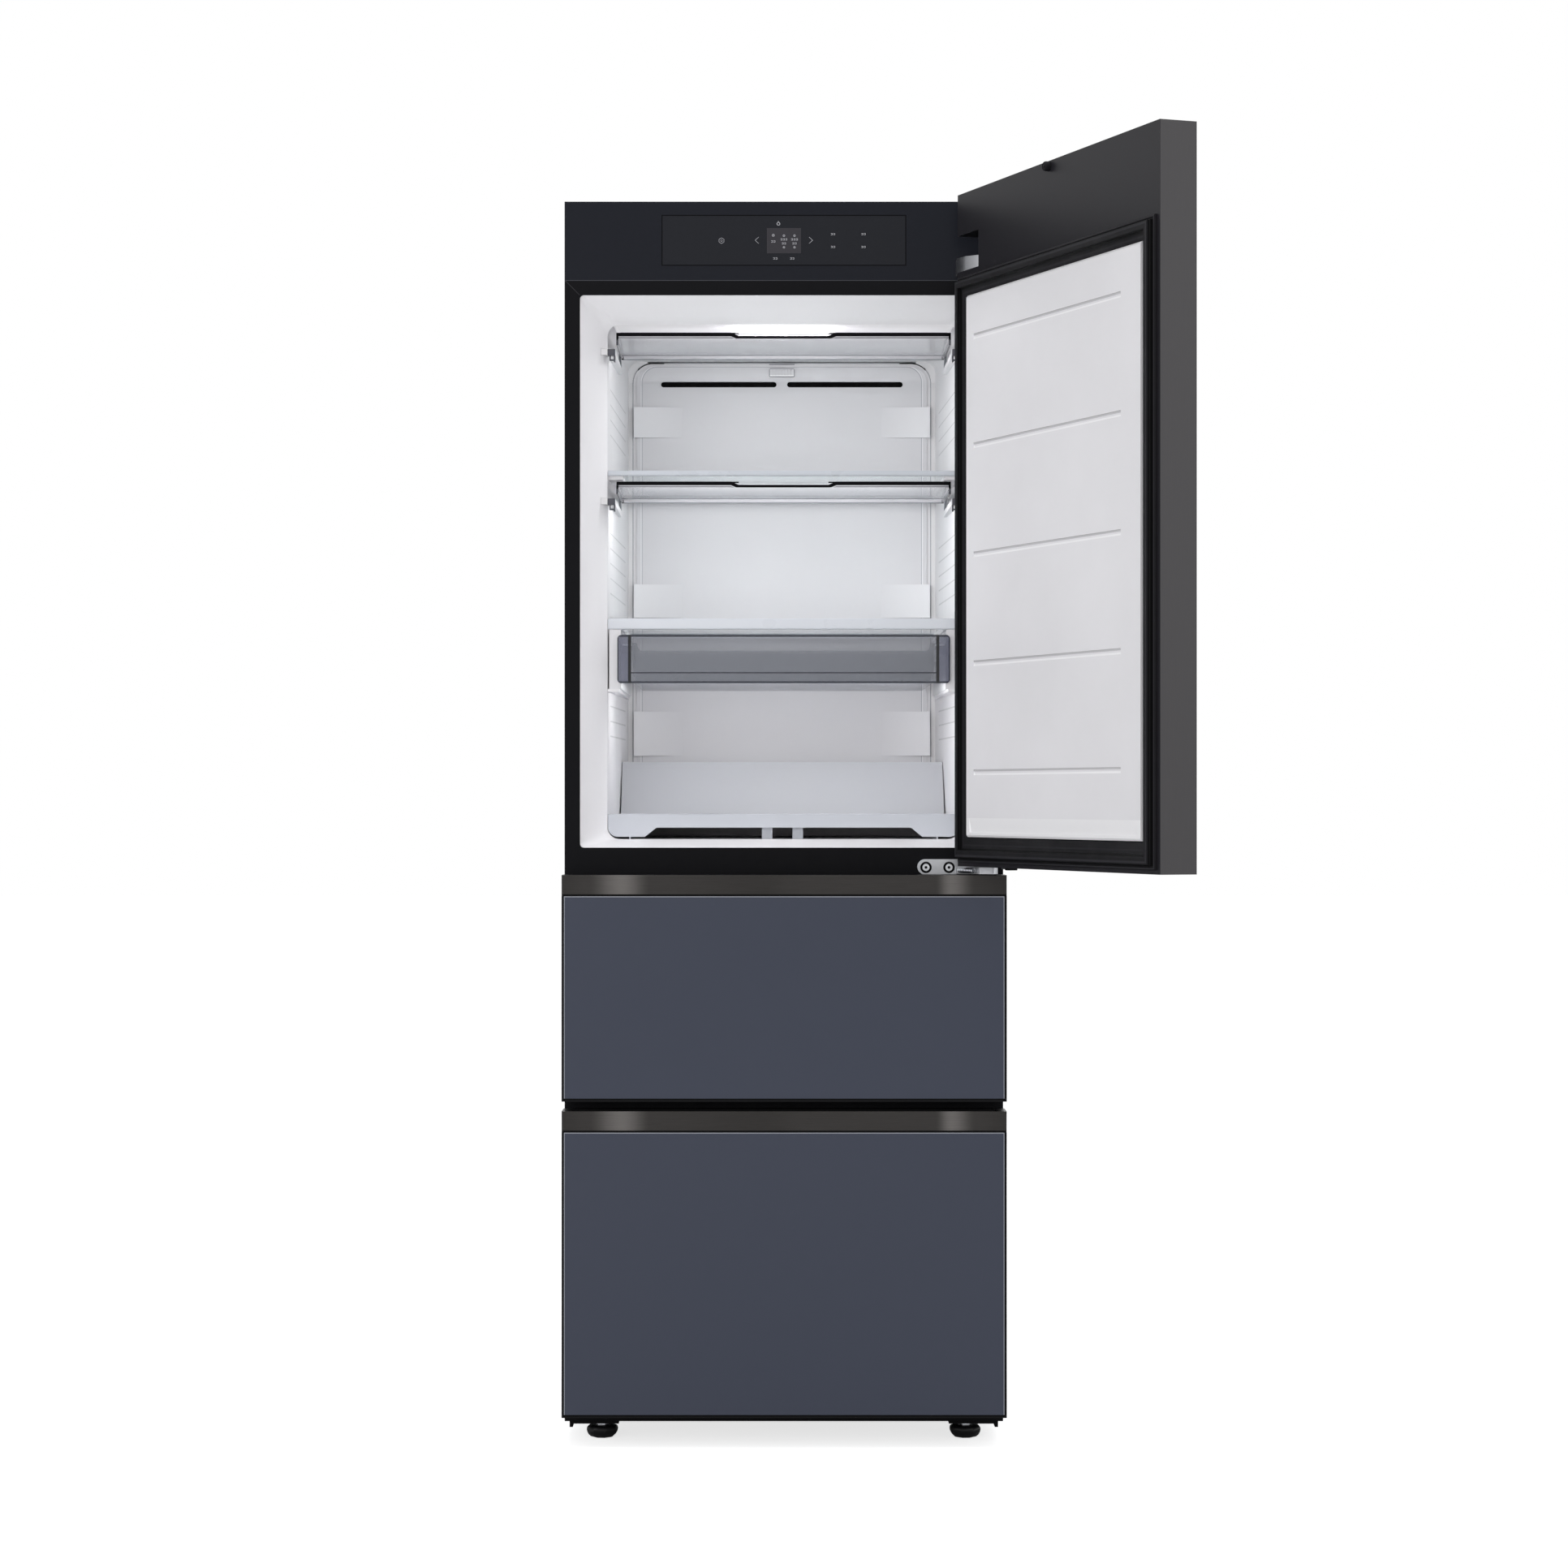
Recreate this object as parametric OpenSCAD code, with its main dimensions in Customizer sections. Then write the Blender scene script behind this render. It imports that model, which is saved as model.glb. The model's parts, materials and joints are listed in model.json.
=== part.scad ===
// Free-standing kimchi refrigerator: one tall upper compartment behind a hinged door,
// and two insulated drawers below it. Sizes in millimetres.
// +X is the hinge side, +Y the back, +Z up. The origin is on the floor, at the middle of
// the cabinet's width and depth. Depths (d) are measured back from the cabinet's front face.

/* [Cabinet] */
// Height over the case
total_h = 1860; // [1760:10:1960]
// Width of the case
case_w = 658; // [640:2:700]
// Depth of the case, without door and drawer fronts
case_d = 669; // [660:1:740]
// Thickness of the steel sheets
sheet_t = 1.2; // [0.8:0.1:1.6]
// Height of the base plate's underside above the floor
base_z = 30; // [26:1:40]
// Thickness of the base plate
base_t = 2; // [1.5:0.5:3]
// How far the back panel's pressed fields stand out
back_emboss = 2; // [1:0.5:4]
// Thickness of the front frame's face
frame_t = 3; // [2:0.5:4]
// Width of the frame's side bars
side_bar_w = 23; // [18:1:30]
// Height of the frame's bar above the upper compartment
top_bar_h = 21.9; // [16:0.1:30]
// Height of the control panel above the frame
fascia_h = 118.2; // [100:0.2:140]

/* [Fronts] */
// How far the door and the drawer fronts stand past the case on each side
front_over = 1; // [0.5:0.5:3]
// Thickness of the door and the drawer fronts
front_t = 55; // [50:1:60]
// Gap between the cabinet and the fronts, which the gaskets fill
front_gap = 13; // [11:1:16]
// Height of the lower drawer front's bottom edge above the floor
lower_front_z = 46.5; // [42:0.5:60]
// Height of the lower drawer front
lower_front_h = 454.4; // [400:0.2:480]
// Height of the upper drawer front
upper_front_h = 335.8; // [300:0.2:380]
// Gap between the two drawer fronts
drawer_gap = 14.4; // [12:0.2:18]
// Gap between the upper drawer front and the door, where the hinge arm runs
door_gap = 13.2; // [12.6:0.2:18]
// Thickness of the fronts' glass
glass_t = 3; // [2.5:0.5:4]
// Width of the fronts' edge trim
edge_w = 2.4; // [1.6:0.2:4]
// Thickness of the fronts' moulded shell
shell_t = 2.4; // [2:0.2:3]
// Height of the drawers' grip strip
grip_h = 28.5; // [22:0.5:40]
// Depth of the finger trough behind the grip strip, measured down
trough_h = 24; // [18:1:34]
// Front-to-back width of the finger trough
trough_w = 30; // [24:1:34]
// Groove between the grip strip and the glass
grip_groove = 3; // [2:0.5:6]

/* [Door] */
// Angle at which the door stands open
door_open = 110.7; // [90:0.1:125]
// Hinge axis, in from the door's hinge-side edge
hinge_in = 21.1; // [19:0.1:26]
// Hinge axis, behind the door's outer face
hinge_back = 8.3; // [8:0.1:9.5]
// Radius of the hinge pins
hinge_pin_r = 3.5; // [3:0.1:3.8]
// Radial running clearance of pins and shafts
pin_gap = 0.05; // [0.02:0.01:0.1]
// Width of the hinge pocket in the door
pocket_w = 75; // [70:1:90]
// Bottom of the hinge pocket, below the top of the door
pocket_drop = 115; // [100:1:120]
// Height of the hinge pocket
pocket_h = 54; // [46:1:60]
// Height of the upper hinge arm
hinge_arm_h = 24; // [18:1:30]
// White inner panel, in from the door's side edges
inner_panel_in = 45; // [40:1:60]
// Bottom edge of the inner panel above the door's bottom edge
inner_panel_up = 43.7; // [38:0.1:60]
// Top edge of the inner panel below the door's top edge
inner_panel_down = 155; // [150:1:170]
// How far the inner panel stands out
inner_panel_rise = 6; // [4:0.5:8]

/* [Upper compartment] */
// Lower rim of the opening above the door's bottom edge
rim_up = 26.5; // [24:0.5:34]
// Depth at which the sloping mouth ends and the chamber begins
mouth_d = 60; // [50:1:70]
// Thickness of the wall beside the chamber's mouth
chamber_wall = 62; // [60:1:80]
// Width that the chamber loses on each side over its depth
chamber_taper = 16.5; // [8:0.5:20]
// Step up from the lower rim to the chamber's floor
floor_step = 12.5; // [8:0.5:20]
// Step down from the upper rim to the chamber's ceiling
ceiling_step = 36.6; // [30:0.2:46]
// Thickness of the wall behind the chamber
chamber_back_wall = 49; // [46:1:60]
// Thickness of the moulded liners
liner_t = 2.5; // [2:0.5:3]
// Depth of the air duct behind its panel
duct_room = 82; // [76:1:88]
// Duct panel, in from the chamber's mouth on each side
duct_in = 21; // [20:1:32]
// Underside of shelf 1 above the chamber's floor
shelf_1_up = 551; // [540:1:560]
// Underside of shelf 2 above the chamber's floor
shelf_2_up = 318.3; // [314:0.1:330]
// Thickness of the shelf glass
shelf_glass_t = 5; // [4:0.5:6]
// Height of shelf 2's front trim
deep_trim_h = 16.1; // [12:0.1:18]
// Height of shelf 1's front trim
trim_h = 7.6; // [7:0.1:10]
// Height of the bottom tray's floor above the chamber's floor
tray_up = 37.2; // [30:0.2:50]

/* [Cold-air guards] */
// Guards, in from the chamber's mouth on each side
guard_in = 13; // [12:0.5:27]
// Length of the upper guard, from its pivot to its front edge
guard_1_l = 217; // [200:1:219]
// Length of the lower guard
guard_2_l = 215; // [200:1:217]
// Depth of the guard's pivot when it is pushed in
guard_back_d = 283; // [270:1:290]
// Depth of the guard's pivot when it hangs closed
guard_front_d = 50; // [47:1:51]
// Upper guard's pivot below the chamber's ceiling
guard_1_drop = 23.3; // [20:0.1:26]
// Lower guard's pivot below shelf 1
guard_2_drop = 20.3; // [20:0.1:26]
// Rise of the guard's face from its pivot to its front edge
guard_rise = 12; // [8:0.5:12]

/* [Meat drawer] */
// Meat drawer's front, in from the chamber's mouth on each side
meat_in = 15; // [15:1:30]
// Height of the meat drawer's front
meat_h = 73.3; // [60:0.1:80]
// Gap from shelf 2's trim down to the meat drawer's front
meat_drop = 9.1; // [8:0.1:16]
// Meat drawer's basin, in from its front's edge on each side
basin_in = 20; // [19:1:40]
// Space behind the meat drawer, up to the duct panel
meat_behind = 56; // [44:1:100]

/* [Drawers] */
// Thickness of the walls beside the drawer compartments
bay_wall = 39; // [36:1:49]
// Thickness of the wall behind the drawer compartments
bay_back_wall = 109; // [90:1:129]
// Thickness of the wall between the lower compartment and the machine room
room_wall = 25; // [21:1:45]
// Room for the slide rails on each side of a bin
bin_in = 28; // [25:1:40]
// Thickness of the bins' walls
bin_t = 2.5; // [2:0.5:3]
// Height of the slide rails
rail_h = 46; // [40:1:50]
// Thickness of the slide rails' steel
rail_t = 1.6; // [1.2:0.1:2]
// Gap between the slide rails
rail_gap = 0.4; // [0.35:0.05:0.8]
// Height of the upper drawer's rails above its front's bottom edge
upper_rail_up = 185; // [150:1:220]
// Height of the lower drawer's rails above the step over the machine room
lower_rail_up = 37.5; // [34:0.5:80]

/* [Machine room] */
// Height of the machine room's ceiling
room_h = 280; // [270:1:284]
// Depth of the machine room
room_deep = 224; // [219:1:229]
// Radius of the compressor's shell
compressor_r = 75; // [60:1:80]
// Radius of the condenser fan
condenser_fan_r = 72; // [55:1:76]
// Radius of the evaporator fan
evaporator_fan_r = 60; // [50:1:64]

/* [Feet] */
// Diameter of the levelling feet
foot_w = 45; // [36:1:50]
// Feet and rollers, in from the sides of the case
foot_in = 55; // [49:1:69]
// Radius of the feet's threaded spindles
spindle_r = 5; // [4:0.5:6]
// Radius of the rear rollers
roller_r = 14; // [10:0.5:14.5]
// Radius of the rollers' axle
axle_r = 4; // [3:0.5:6]

/* [Hidden] */
$fn = 48;
tiny = 0.01;
seat_gap = 0.3;
front_y = -case_d / 2;
half_w = case_w / 2;
front_half = half_w + front_over;
inside_x = half_w - sheet_t;
case_back_d = case_d - back_emboss - sheet_t;
rim_x = half_w - side_bar_w;
front_d = -front_gap - front_t;
glass_back_d = front_d + glass_t;
inner_d = -front_gap;
chamber_w = case_w - 2 * chamber_wall;
chamber_d = case_d - chamber_back_wall;
duct_d = chamber_d - duct_room;
duct_w = chamber_w - 2 * duct_in;
room_d = case_d - room_deep;
foot_x = half_w - foot_in;

lower_z = [lower_front_z, lower_front_z + lower_front_h];
upper_z = [lower_z[1] + drawer_gap, lower_z[1] + drawer_gap + upper_front_h];
door_z = [upper_z[1] + door_gap, total_h];
hinge_x = front_half - hinge_in;
hinge_d = front_d + hinge_back;
pocket_z = [total_h - pocket_drop, total_h - pocket_drop + pocket_h];
pocket_x = front_half - pocket_w;
upper_arm_z = [pocket_z[0] + 2, pocket_z[0] + 2 + hinge_arm_h];
panel_z = [door_z[0] + inner_panel_up, door_z[1] - inner_panel_down];
panel_x = front_half - inner_panel_in;

fascia_z = total_h - fascia_h;
rim_z = [door_z[0] + rim_up, fascia_z - top_bar_h];
chamber_z = [rim_z[0] + floor_step, rim_z[1] - ceiling_step];
flange_w = (side_bar_w - sheet_t) / 2 - seat_gap;
mouth_corner_r = 18;

// Half width of the chamber at depth d
function chamber_x(d) =
    chamber_w / 2 - chamber_taper * (d - mouth_d) / (chamber_d - mouth_d);

shelf_1_z = chamber_z[0] + shelf_1_up;
shelf_2_z = chamber_z[0] + shelf_2_up;
glass_1_z = shelf_1_z + 1.3;
glass_2_z = shelf_2_z + deep_trim_h / 2;
shelf_glass_x = chamber_x(chamber_d) + 1.5;
shelf_back_d = duct_d - 10;
ledge_w = 8;
tray_z = chamber_z[0] + tray_up;
tray_t = 2;

guard_x = chamber_w / 2 - guard_in;
guard_1_z = chamber_z[1] - guard_1_drop;
guard_2_z = shelf_1_z - guard_2_drop;
guard_pin_r = 2.5;
runner_x = [guard_x + 1, guard_x + 4.5];
runner_drop = 15;
track_h = 9;

meat_z = [shelf_2_z - meat_drop - meat_h, shelf_2_z - meat_drop];
meat_front_d = mouth_d - 6;
guide_x = guard_x - 7.3;
guide_z = [meat_z[0] - 8.2, glass_2_z];
guide_end_d = duct_d - 38;
meat_x = chamber_w / 2 - meat_in;
basin_x = meat_x - basin_in;
meat_d = duct_d - meat_behind - meat_front_d;
meat_flange_z = meat_z[1] - 16.5;

bay_x = half_w - bay_wall;
bay_d = case_d - bay_back_wall;
low_bay_d = room_d - room_wall;
bay_open_x = bay_x + 6;
bin_x = bay_x - bin_in;
upper_bay_z = [upper_z[0] + 20.7, upper_z[1] - 17.1];
lower_bay_z = [lower_z[0] + 20.5, lower_z[1] - 17.9];
low_step_z = room_h + 23;
upper_rail_z = upper_z[0] + upper_rail_up;
lower_rail_z = low_step_z + lower_rail_up;
rail_d = [10, bay_d - 30];
rail_reach = 10;

fan_z = chamber_z[1] - 183;
fan_d = [duct_d + 40, duct_d + 60];
coil_z = [chamber_z[0] + 97, chamber_z[0] + 347];
fan_room_d = room_d + room_deep / 2 - 2;
fan_room_z = 130;
roller_d = case_d - 70;
foot_d = 42;
axle_z = roller_r;

// ---- Building blocks ----

// Block between two depths, heights and widths
module block(x, d, z) {
    translate([x[0], front_y + d[0], z[0]])
        cube([x[1] - x[0], d[1] - d[0], z[1] - z[0]]);
}

module both_sides() {
    children();
    mirror([1, 0, 0]) children();
}

// Front-view outline (x, z), from depth d[0] to d[1]
module front_plate(d) {
    translate([0, front_y + d[1], 0])
        rotate([90, 0, 0]) linear_extrude(d[1] - d[0]) children();
}

// Side-view outline (d, z), from x[0] to x[1]
module side_plate(x) {
    translate([x[0], front_y, 0])
        rotate([90, 0, 90]) linear_extrude(x[1] - x[0]) children();
}

// Plan outline (x, d), from z[0] to z[1]
module plan_plate(z) {
    translate([0, front_y, z[0]]) linear_extrude(z[1] - z[0]) children();
}

module area(x, z) {
    translate([x[0], z[0]]) square([x[1] - x[0], z[1] - z[0]]);
}

module round_area(x, z, r) {
    area([x[0] + r, x[1] - r], z);
    area(x, [z[0] + r, z[1] - r]);
    for (cx = [x[0] + r, x[1] - r], cz = [z[0] + r, z[1] - r])
        translate([cx, cz]) circle(r);
}

module rod_x(x, d, z, r) {
    translate([x[0], front_y + d, z]) rotate([0, 90, 0]) cylinder(h = x[1] - x[0], r = r);
}

module rod_y(d, x, z, r) {
    translate([x, front_y + d[0], z]) rotate([-90, 0, 0]) cylinder(h = d[1] - d[0], r = r);
}

module rod_z(z, x, d, r) {
    translate([x, front_y + d, z[0]]) cylinder(h = z[1] - z[0], r = r);
}

// Half of a ring, for the bends of a coil
module bend(r, tube_r) {
    rotate_extrude(angle = 180) translate([r, 0]) circle(tube_r);
}

// Fan wheel on +Z, with tilted blades
module fan_wheel(tip_r, hub_r, width, blades) {
    cylinder(h = width, r = hub_r);
    intersection() {
        cylinder(h = width, r = tip_r);
        for (i = [0 : blades - 1])
            rotate([0, 0, i * 360 / blades])
                translate([hub_r - 2, 0, width / 2]) rotate([36, 0, 0])
                    translate([0, -width, -1]) cube([tip_r, 2 * width, 2]);
    }
}

// ---- Cabinet ----

module outer_case() color("gainsboro") {
    both_sides() {
        block([inside_x, half_w], [frame_t, case_back_d], [base_z, total_h]);
        block([inside_x - flange_w, inside_x + tiny], [frame_t, frame_t + sheet_t],
            [base_z + base_t, fascia_z]);
        block([inside_x - flange_w, inside_x + tiny],
            [case_back_d - sheet_t, case_back_d], [room_h, total_h]);
    }
    block([-inside_x - tiny, inside_x + tiny], [frame_t, case_back_d],
        [total_h - sheet_t, total_h]);
}

// Line of screws near the sides of the back
seam_x = half_w - 29;

// Pressed fields of the back panel, drawn in by t at their edges
module back_fields(t) {
    rows = 3;
    pitch = (total_h - room_h - 60) / rows;
    for (i = [0 : rows - 1])
        area([-half_w + 60 + t, half_w - 60 - t],
            [room_h + 40 + i * pitch + t, room_h + 10 + (i + 1) * pitch - t]);
}

module back_panel() color("silver") {
    d = [case_back_d, case_back_d + sheet_t];
    difference() {
        union() {
            block([-half_w, half_w], d, [room_h, total_h]);
            front_plate([(d[0] + d[1]) / 2, d[1] + back_emboss]) back_fields(0);
        }
        front_plate([d[0] - 1, d[1] + back_emboss - sheet_t]) back_fields(sheet_t);
        front_plate([d[0] - 1, d[1] + 1])
            for (x = [-seam_x, seam_x], i = [0 : 4])
                translate([x, room_h + 60 + i * (total_h - room_h - 120) / 4]) circle(2.6);
    }
}

// Base plate with the machine room's stepped wall and the feet's brackets
module base_plate() color("dimgray") {
    z = [base_z, base_z + base_t];
    difference() {
        union() {
            block([-inside_x, inside_x], [frame_t, case_back_d - sheet_t], z);
            block([-inside_x, inside_x], [room_d, room_d + sheet_t],
                [z[1] - tiny, room_h]);
            block([-inside_x, inside_x], [room_d, case_back_d - sheet_t],
                [room_h - sheet_t, room_h]);
            both_sides() {
                block([foot_x - 26, foot_x + 48], [10, 78], [base_z - 5, base_z + tiny]);
                block([foot_x + 43, foot_x + 48], [10, 78], [base_z - 10, base_z]);
                for (x = [foot_x - 18, foot_x + 14])
                    block([x, x + 4], [roller_d - 12, roller_d + 12],
                        [axle_z - 8, base_z + tiny]);
            }
        }
        both_sides() rod_z([0, base_z + 20], foot_x, foot_d, spindle_r + pin_gap);
        rod_x([-half_w, half_w], roller_d, axle_z, axle_r + pin_gap);
        // Ways through the machine room's ceiling for the drain and the suction line
        rod_z([room_h - 4, room_h + 1], drain_at[0], drain_at[1], drain_r + seat_gap);
        rod_z([room_h - 4, room_h + 1], pipe_x, pipe_d, pipe_r + seat_gap);
        // Air slots behind the plinth
        for (i = [-5 : 5])
            block([i * 34 - 11, i * 34 + 11], [110, 118], [z[0] - 1, z[1] + 1]);
    }
}

module front_frame() color([0.1, 0.1, 0.11]) {
    front_plate([0, frame_t]) difference() {
        area([-half_w, half_w], [base_z + base_t, fascia_z]);
        round_area([-rim_x, rim_x], rim_z, 6);
        area([-bay_open_x, bay_open_x], upper_bay_z);
        area([-bay_open_x, bay_open_x], lower_bay_z);
    }
}

window_z = [fascia_z + 22.6, fascia_z + 97.7];
window_x = half_w - 146;

module control_fascia() color([0.14, 0.16, 0.18]) {
    difference() {
        union() {
            block([-half_w, half_w], [0, frame_t], [fascia_z, total_h]);
            block([-window_x - 20, window_x + 20], [frame_t - tiny, 34],
                [window_z[0] - 12, window_z[1] + 12]);
        }
        block([-window_x, window_x], [-1, 1], window_z);
        block([-window_x - 17, window_x + 17], [frame_t, 35],
            [window_z[0] - 9, window_z[1] + 9]);
    }
}

module display_window() color([0.17, 0.19, 0.21]) {
    block([-window_x + 0.4, window_x - 0.4], [0.2, 1],
        [window_z[0] + 0.4, window_z[1] - 0.4]);
}

// Display board behind the window, and the main board in the control box
module circuit_boards() color("seagreen") {
    block([-window_x, window_x], [14, 15.6], [window_z[0] + 4, window_z[1] - 4]);
    for (x = [33 - window_x, 0, window_x - 33])
        rod_y([frame_t, 14.4], x, fascia_z + 60, 3);
    block([-34, 34], [9, 14.4], [fascia_z + 38, fascia_z + 74]);
    block([box_x[0] + 8, box_x[1] - 8], [box_d + 8, box_d + 9.6], [box_z[0] + 8, box_z[1] - 8]);
    for (up = [28, 88, 138])
        block([box_x[0] + 24, box_x[0] + 74], [box_d + 9.5, box_d + 26],
            [box_z[0] + up, box_z[0] + up + 18]);
    for (x = [box_x[0] + 18, box_x[1] - 18], z = [box_z[0] + 18, box_z[1] - 18])
        rod_y([box_d + 2, box_d + 9], x, z, 3);
}

// ---- Upper compartment ----

// Rounded slice of the chamber at depth d
module chamber_slice(d, x, z, r) {
    front_plate([d, d + tiny]) round_area([-x, x], z, r);
}

module upper_liner() color("white") {
    t = liner_t;
    x_end = chamber_x(chamber_d);
    difference() {
        union() {
            difference() {
                upper_liner_body();
                hull() {
                    chamber_slice(frame_t - 1, rim_x, rim_z, 6, $fn = 32);
                    chamber_slice(mouth_d, chamber_w / 2, chamber_z, mouth_corner_r, $fn = 32);
                }
                hull() {
                    chamber_slice(mouth_d, chamber_w / 2, chamber_z, mouth_corner_r, $fn = 32);
                    chamber_slice(chamber_d, x_end, chamber_z, mouth_corner_r, $fn = 32);
                }
            }
            both_sides() {
                wall_ledge([mouth_d + 11 + seat_gap, shelf_back_d - 8 - seat_gap],
                    shelf_glass_x - ledge_w, [glass_1_z - 6.8, glass_1_z]);
                wall_ledge([mouth_d + 2, guide_end_d], guide_x + 3,
                    [guide_z[0] - 4.3, guide_z[0]]);
                for (z = [guard_1_z, guard_2_z])
                    guard_track(z - runner_drop - seat_gap);
            }
        }
        // Drain below the evaporator, and the suction line's way in
        rod_z([chamber_z[0] - 2 * t, chamber_z[0] + 1], drain_at[0], drain_at[1], 8);
        rod_y([chamber_d - 1, chamber_d + 2 * t], pipe_x, pipe_top, pipe_r + seat_gap);
    }
}

// Outside of the upper liner, sloping in at the mouth, with a flange behind the frame
module upper_liner_body() {
    t = liner_t;
    f = flange_w;
    x_end = chamber_x(chamber_d) + t;
    x_mouth = chamber_w / 2 + t;
    d = [frame_t, frame_t + t, mouth_d + t, chamber_d + t];
    z_low = [rim_z[0] - f, rim_z[0] - t, chamber_z[0] - t];
    z_high = [rim_z[1] + f, rim_z[1] + t, chamber_z[1] + t];
    intersection() {
        plan_plate([rim_z[0] - f, rim_z[1] + f]) polygon([
            [-rim_x - f, d[0]], [-rim_x - f, d[1]], [-rim_x - t, d[1]], [-x_mouth, d[2]],
            [-x_end, d[3]], [x_end, d[3]], [x_mouth, d[2]], [rim_x + t, d[1]],
            [rim_x + f, d[1]], [rim_x + f, d[0]]]);
        side_plate([-rim_x - f, rim_x + f]) polygon([
            [d[0], z_low[0]], [d[1], z_low[0]], [d[1], z_low[1]], [d[2], z_low[2]],
            [d[3], z_low[2]], [d[3], z_high[2]], [d[2], z_high[2]], [d[1], z_high[1]],
            [d[1], z_high[0]], [d[0], z_high[0]]]);
    }
}

// Moulded ledge on the chamber's side wall, from x inwards edge to the wall
module wall_ledge(d, x, z) {
    plan_plate(z) polygon([
        [x, d[0]], [chamber_x(d[0]) + 1, d[0]], [chamber_x(d[1]) + 1, d[1]], [x, d[1]]]);
}

// Track that a guard's runner slides on; its top is at height z
module guard_track(z) {
    d = [guard_front_d - 4, guard_back_d + 26];
    x = guard_x + 0.7;
    mouth_x = chamber_w / 2 + (rim_x - chamber_w / 2) * (mouth_d - d[0]) / mouth_d;
    plan_plate([z - track_h, z]) polygon([
        [x, d[0]], [mouth_x, d[0]], [chamber_w / 2 + 1, mouth_d],
        [chamber_x(d[1]) + 1, d[1]], [x, d[1]]]);
    plan_plate([z - tiny, z + 4]) polygon([
        [x, d[1] - 3], [chamber_x(d[1]) + 1, d[1] - 3], [chamber_x(d[1]) + 1, d[1]], [x, d[1]]]);
}

// Heights of the side outlets, one pair to each bay
side_outlets = [[shelf_1_z + 104, shelf_1_z + 154], [shelf_2_z + 40, shelf_2_z + 95],
    [tray_z + 94, tray_z + 167]];
side_outlet_rise = 7;

module duct_panel() color("gainsboro") {
    x = duct_w / 2;
    z = [chamber_z[0], chamber_z[1] - 1.3];
    r = 33;
    slot_z = z[1] - 36;
    difference() {
        union() {
            front_plate([duct_d + 3, duct_d + 6]) {
                round_area([-x, x], [z[0] + r, z[1]], r);
                round_area([-x, x], [z[0], z[0] + 3 * r], mouth_corner_r);
            }
            front_plate([duct_d, duct_d + 3 + tiny]) {
                round_area([7 - x, x - 7], [z[0] + r, z[1] - 7], r - 7);
                round_area([7 - x, x - 7], [z[0], z[0] + 3 * r], mouth_corner_r);
            }
            both_sides()
                block([x - 12, x - 9], [duct_d + 5, chamber_d], [z[0] + 18, z[1] - 40]);
            // Wedge-shaped side outlets, proud at their outer edge
            for (bay = side_outlets) plan_plate(bay) both_sides()
                polygon([[x - 84, duct_d + 1.5], [x - 84, duct_d + 0.1],
                    [x - 2.5, duct_d - side_outlet_rise], [x - 2.5, duct_d + 4]]);
        }
        front_plate([duct_d - 1, duct_d + 7]) both_sides()
            round_area([8.7, x - 47], [slot_z - 4.5, slot_z + 4.5], 4.4);
        for (bay = side_outlets) plan_plate([bay[0] + 3, bay[1] - 3]) both_sides()
            polygon([[x - 60, duct_d + 7], [x - 60, duct_d - 0.6],
                [x + 1, duct_d + 1.4 - side_outlet_rise], [x + 1, duct_d - 1],
                [x - 24, duct_d - 1], [x - 24, duct_d + 7]]);
    }
}

module sensor_cover() color("lightgray") {
    z = chamber_z[1] - 18.3;
    difference() {
        front_plate([duct_d - 6, duct_d])
            round_area([-21, 21], [z - 7, z + 7], 3);
        for (i = [-3 : 3])
            block([i * 5 - 1, i * 5 + 1], [duct_d - 7, duct_d - 3], [z - 4.5, z + 4.5]);
    }
}

lamp_x = 78;
lamp_w = 38;

module ceiling_lamp() color("white") {
    z = chamber_z[1];
    plan_plate([z - 7, z]) round_area([-lamp_x, lamp_x], [mouth_d + 3, mouth_d + 3 + lamp_w], 6);
    plan_plate([z - 8.4, z - 6.99])
        round_area([6 - lamp_x, lamp_x - 6], [mouth_d + 8, mouth_d - 2 + lamp_w], 4);
}

// Finned evaporator behind the duct panel
module evaporator() color("silver") {
    x = duct_w / 2 - 40;
    tube_r = 4;
    rows = [0 : 5];
    pitch = (coil_z[1] - coil_z[0] - 40) / 5;
    d_tubes = [duct_d + 32, duct_d + 58];
    fins = 14;
    for (i = [0 : fins])
        block([-x + i * 2 * x / fins - 0.4, -x + i * 2 * x / fins + 0.4],
            [duct_d + 20, duct_d + 70], coil_z);
    for (d = d_tubes, i = rows)
        rod_x([-x - 6, x + 6], d, coil_z[0] + 20 + i * pitch, tube_r);
    for (d = d_tubes, i = [0 : 4]) {
        side = i % 2 == 0 ? -1 : 1;
        translate([side * (x + 4), front_y + d, coil_z[0] + 20 + (i + 0.5) * pitch])
            rotate([90, side * 90, 0]) rotate([0, 0, 180]) bend(pitch / 2, tube_r + 0.4);
    }
    // Side plates that carry the coil on the back wall
    both_sides()
        block([x + 1, x + 2.5], [duct_d + 16, chamber_d], [coil_z[0] - 4, coil_z[1] + 4]);
}

module evaporator_fan_housing() color("lightgray") {
    x = duct_w / 2 - 12;
    r = evaporator_fan_r + 4;
    difference() {
        union() {
            block([-x, x], [fan_d[0] - 6, fan_d[0] - 3], [fan_z - r - 46, fan_z + r + 46]);
            rod_y([fan_d[0] - 4, fan_d[1]], 0, fan_z, r + 3);
        }
        rod_y([fan_d[0] - 8, fan_d[1] + 1], 0, fan_z, r);
    }
    // Fan motor on the back wall
    difference() {
        rod_y([fan_d[1] + 4, chamber_d], 0, fan_z, 24);
        rod_y([fan_d[1], fan_d[1] + 16], 0, fan_z, 3 + pin_gap);
    }
}

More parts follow.
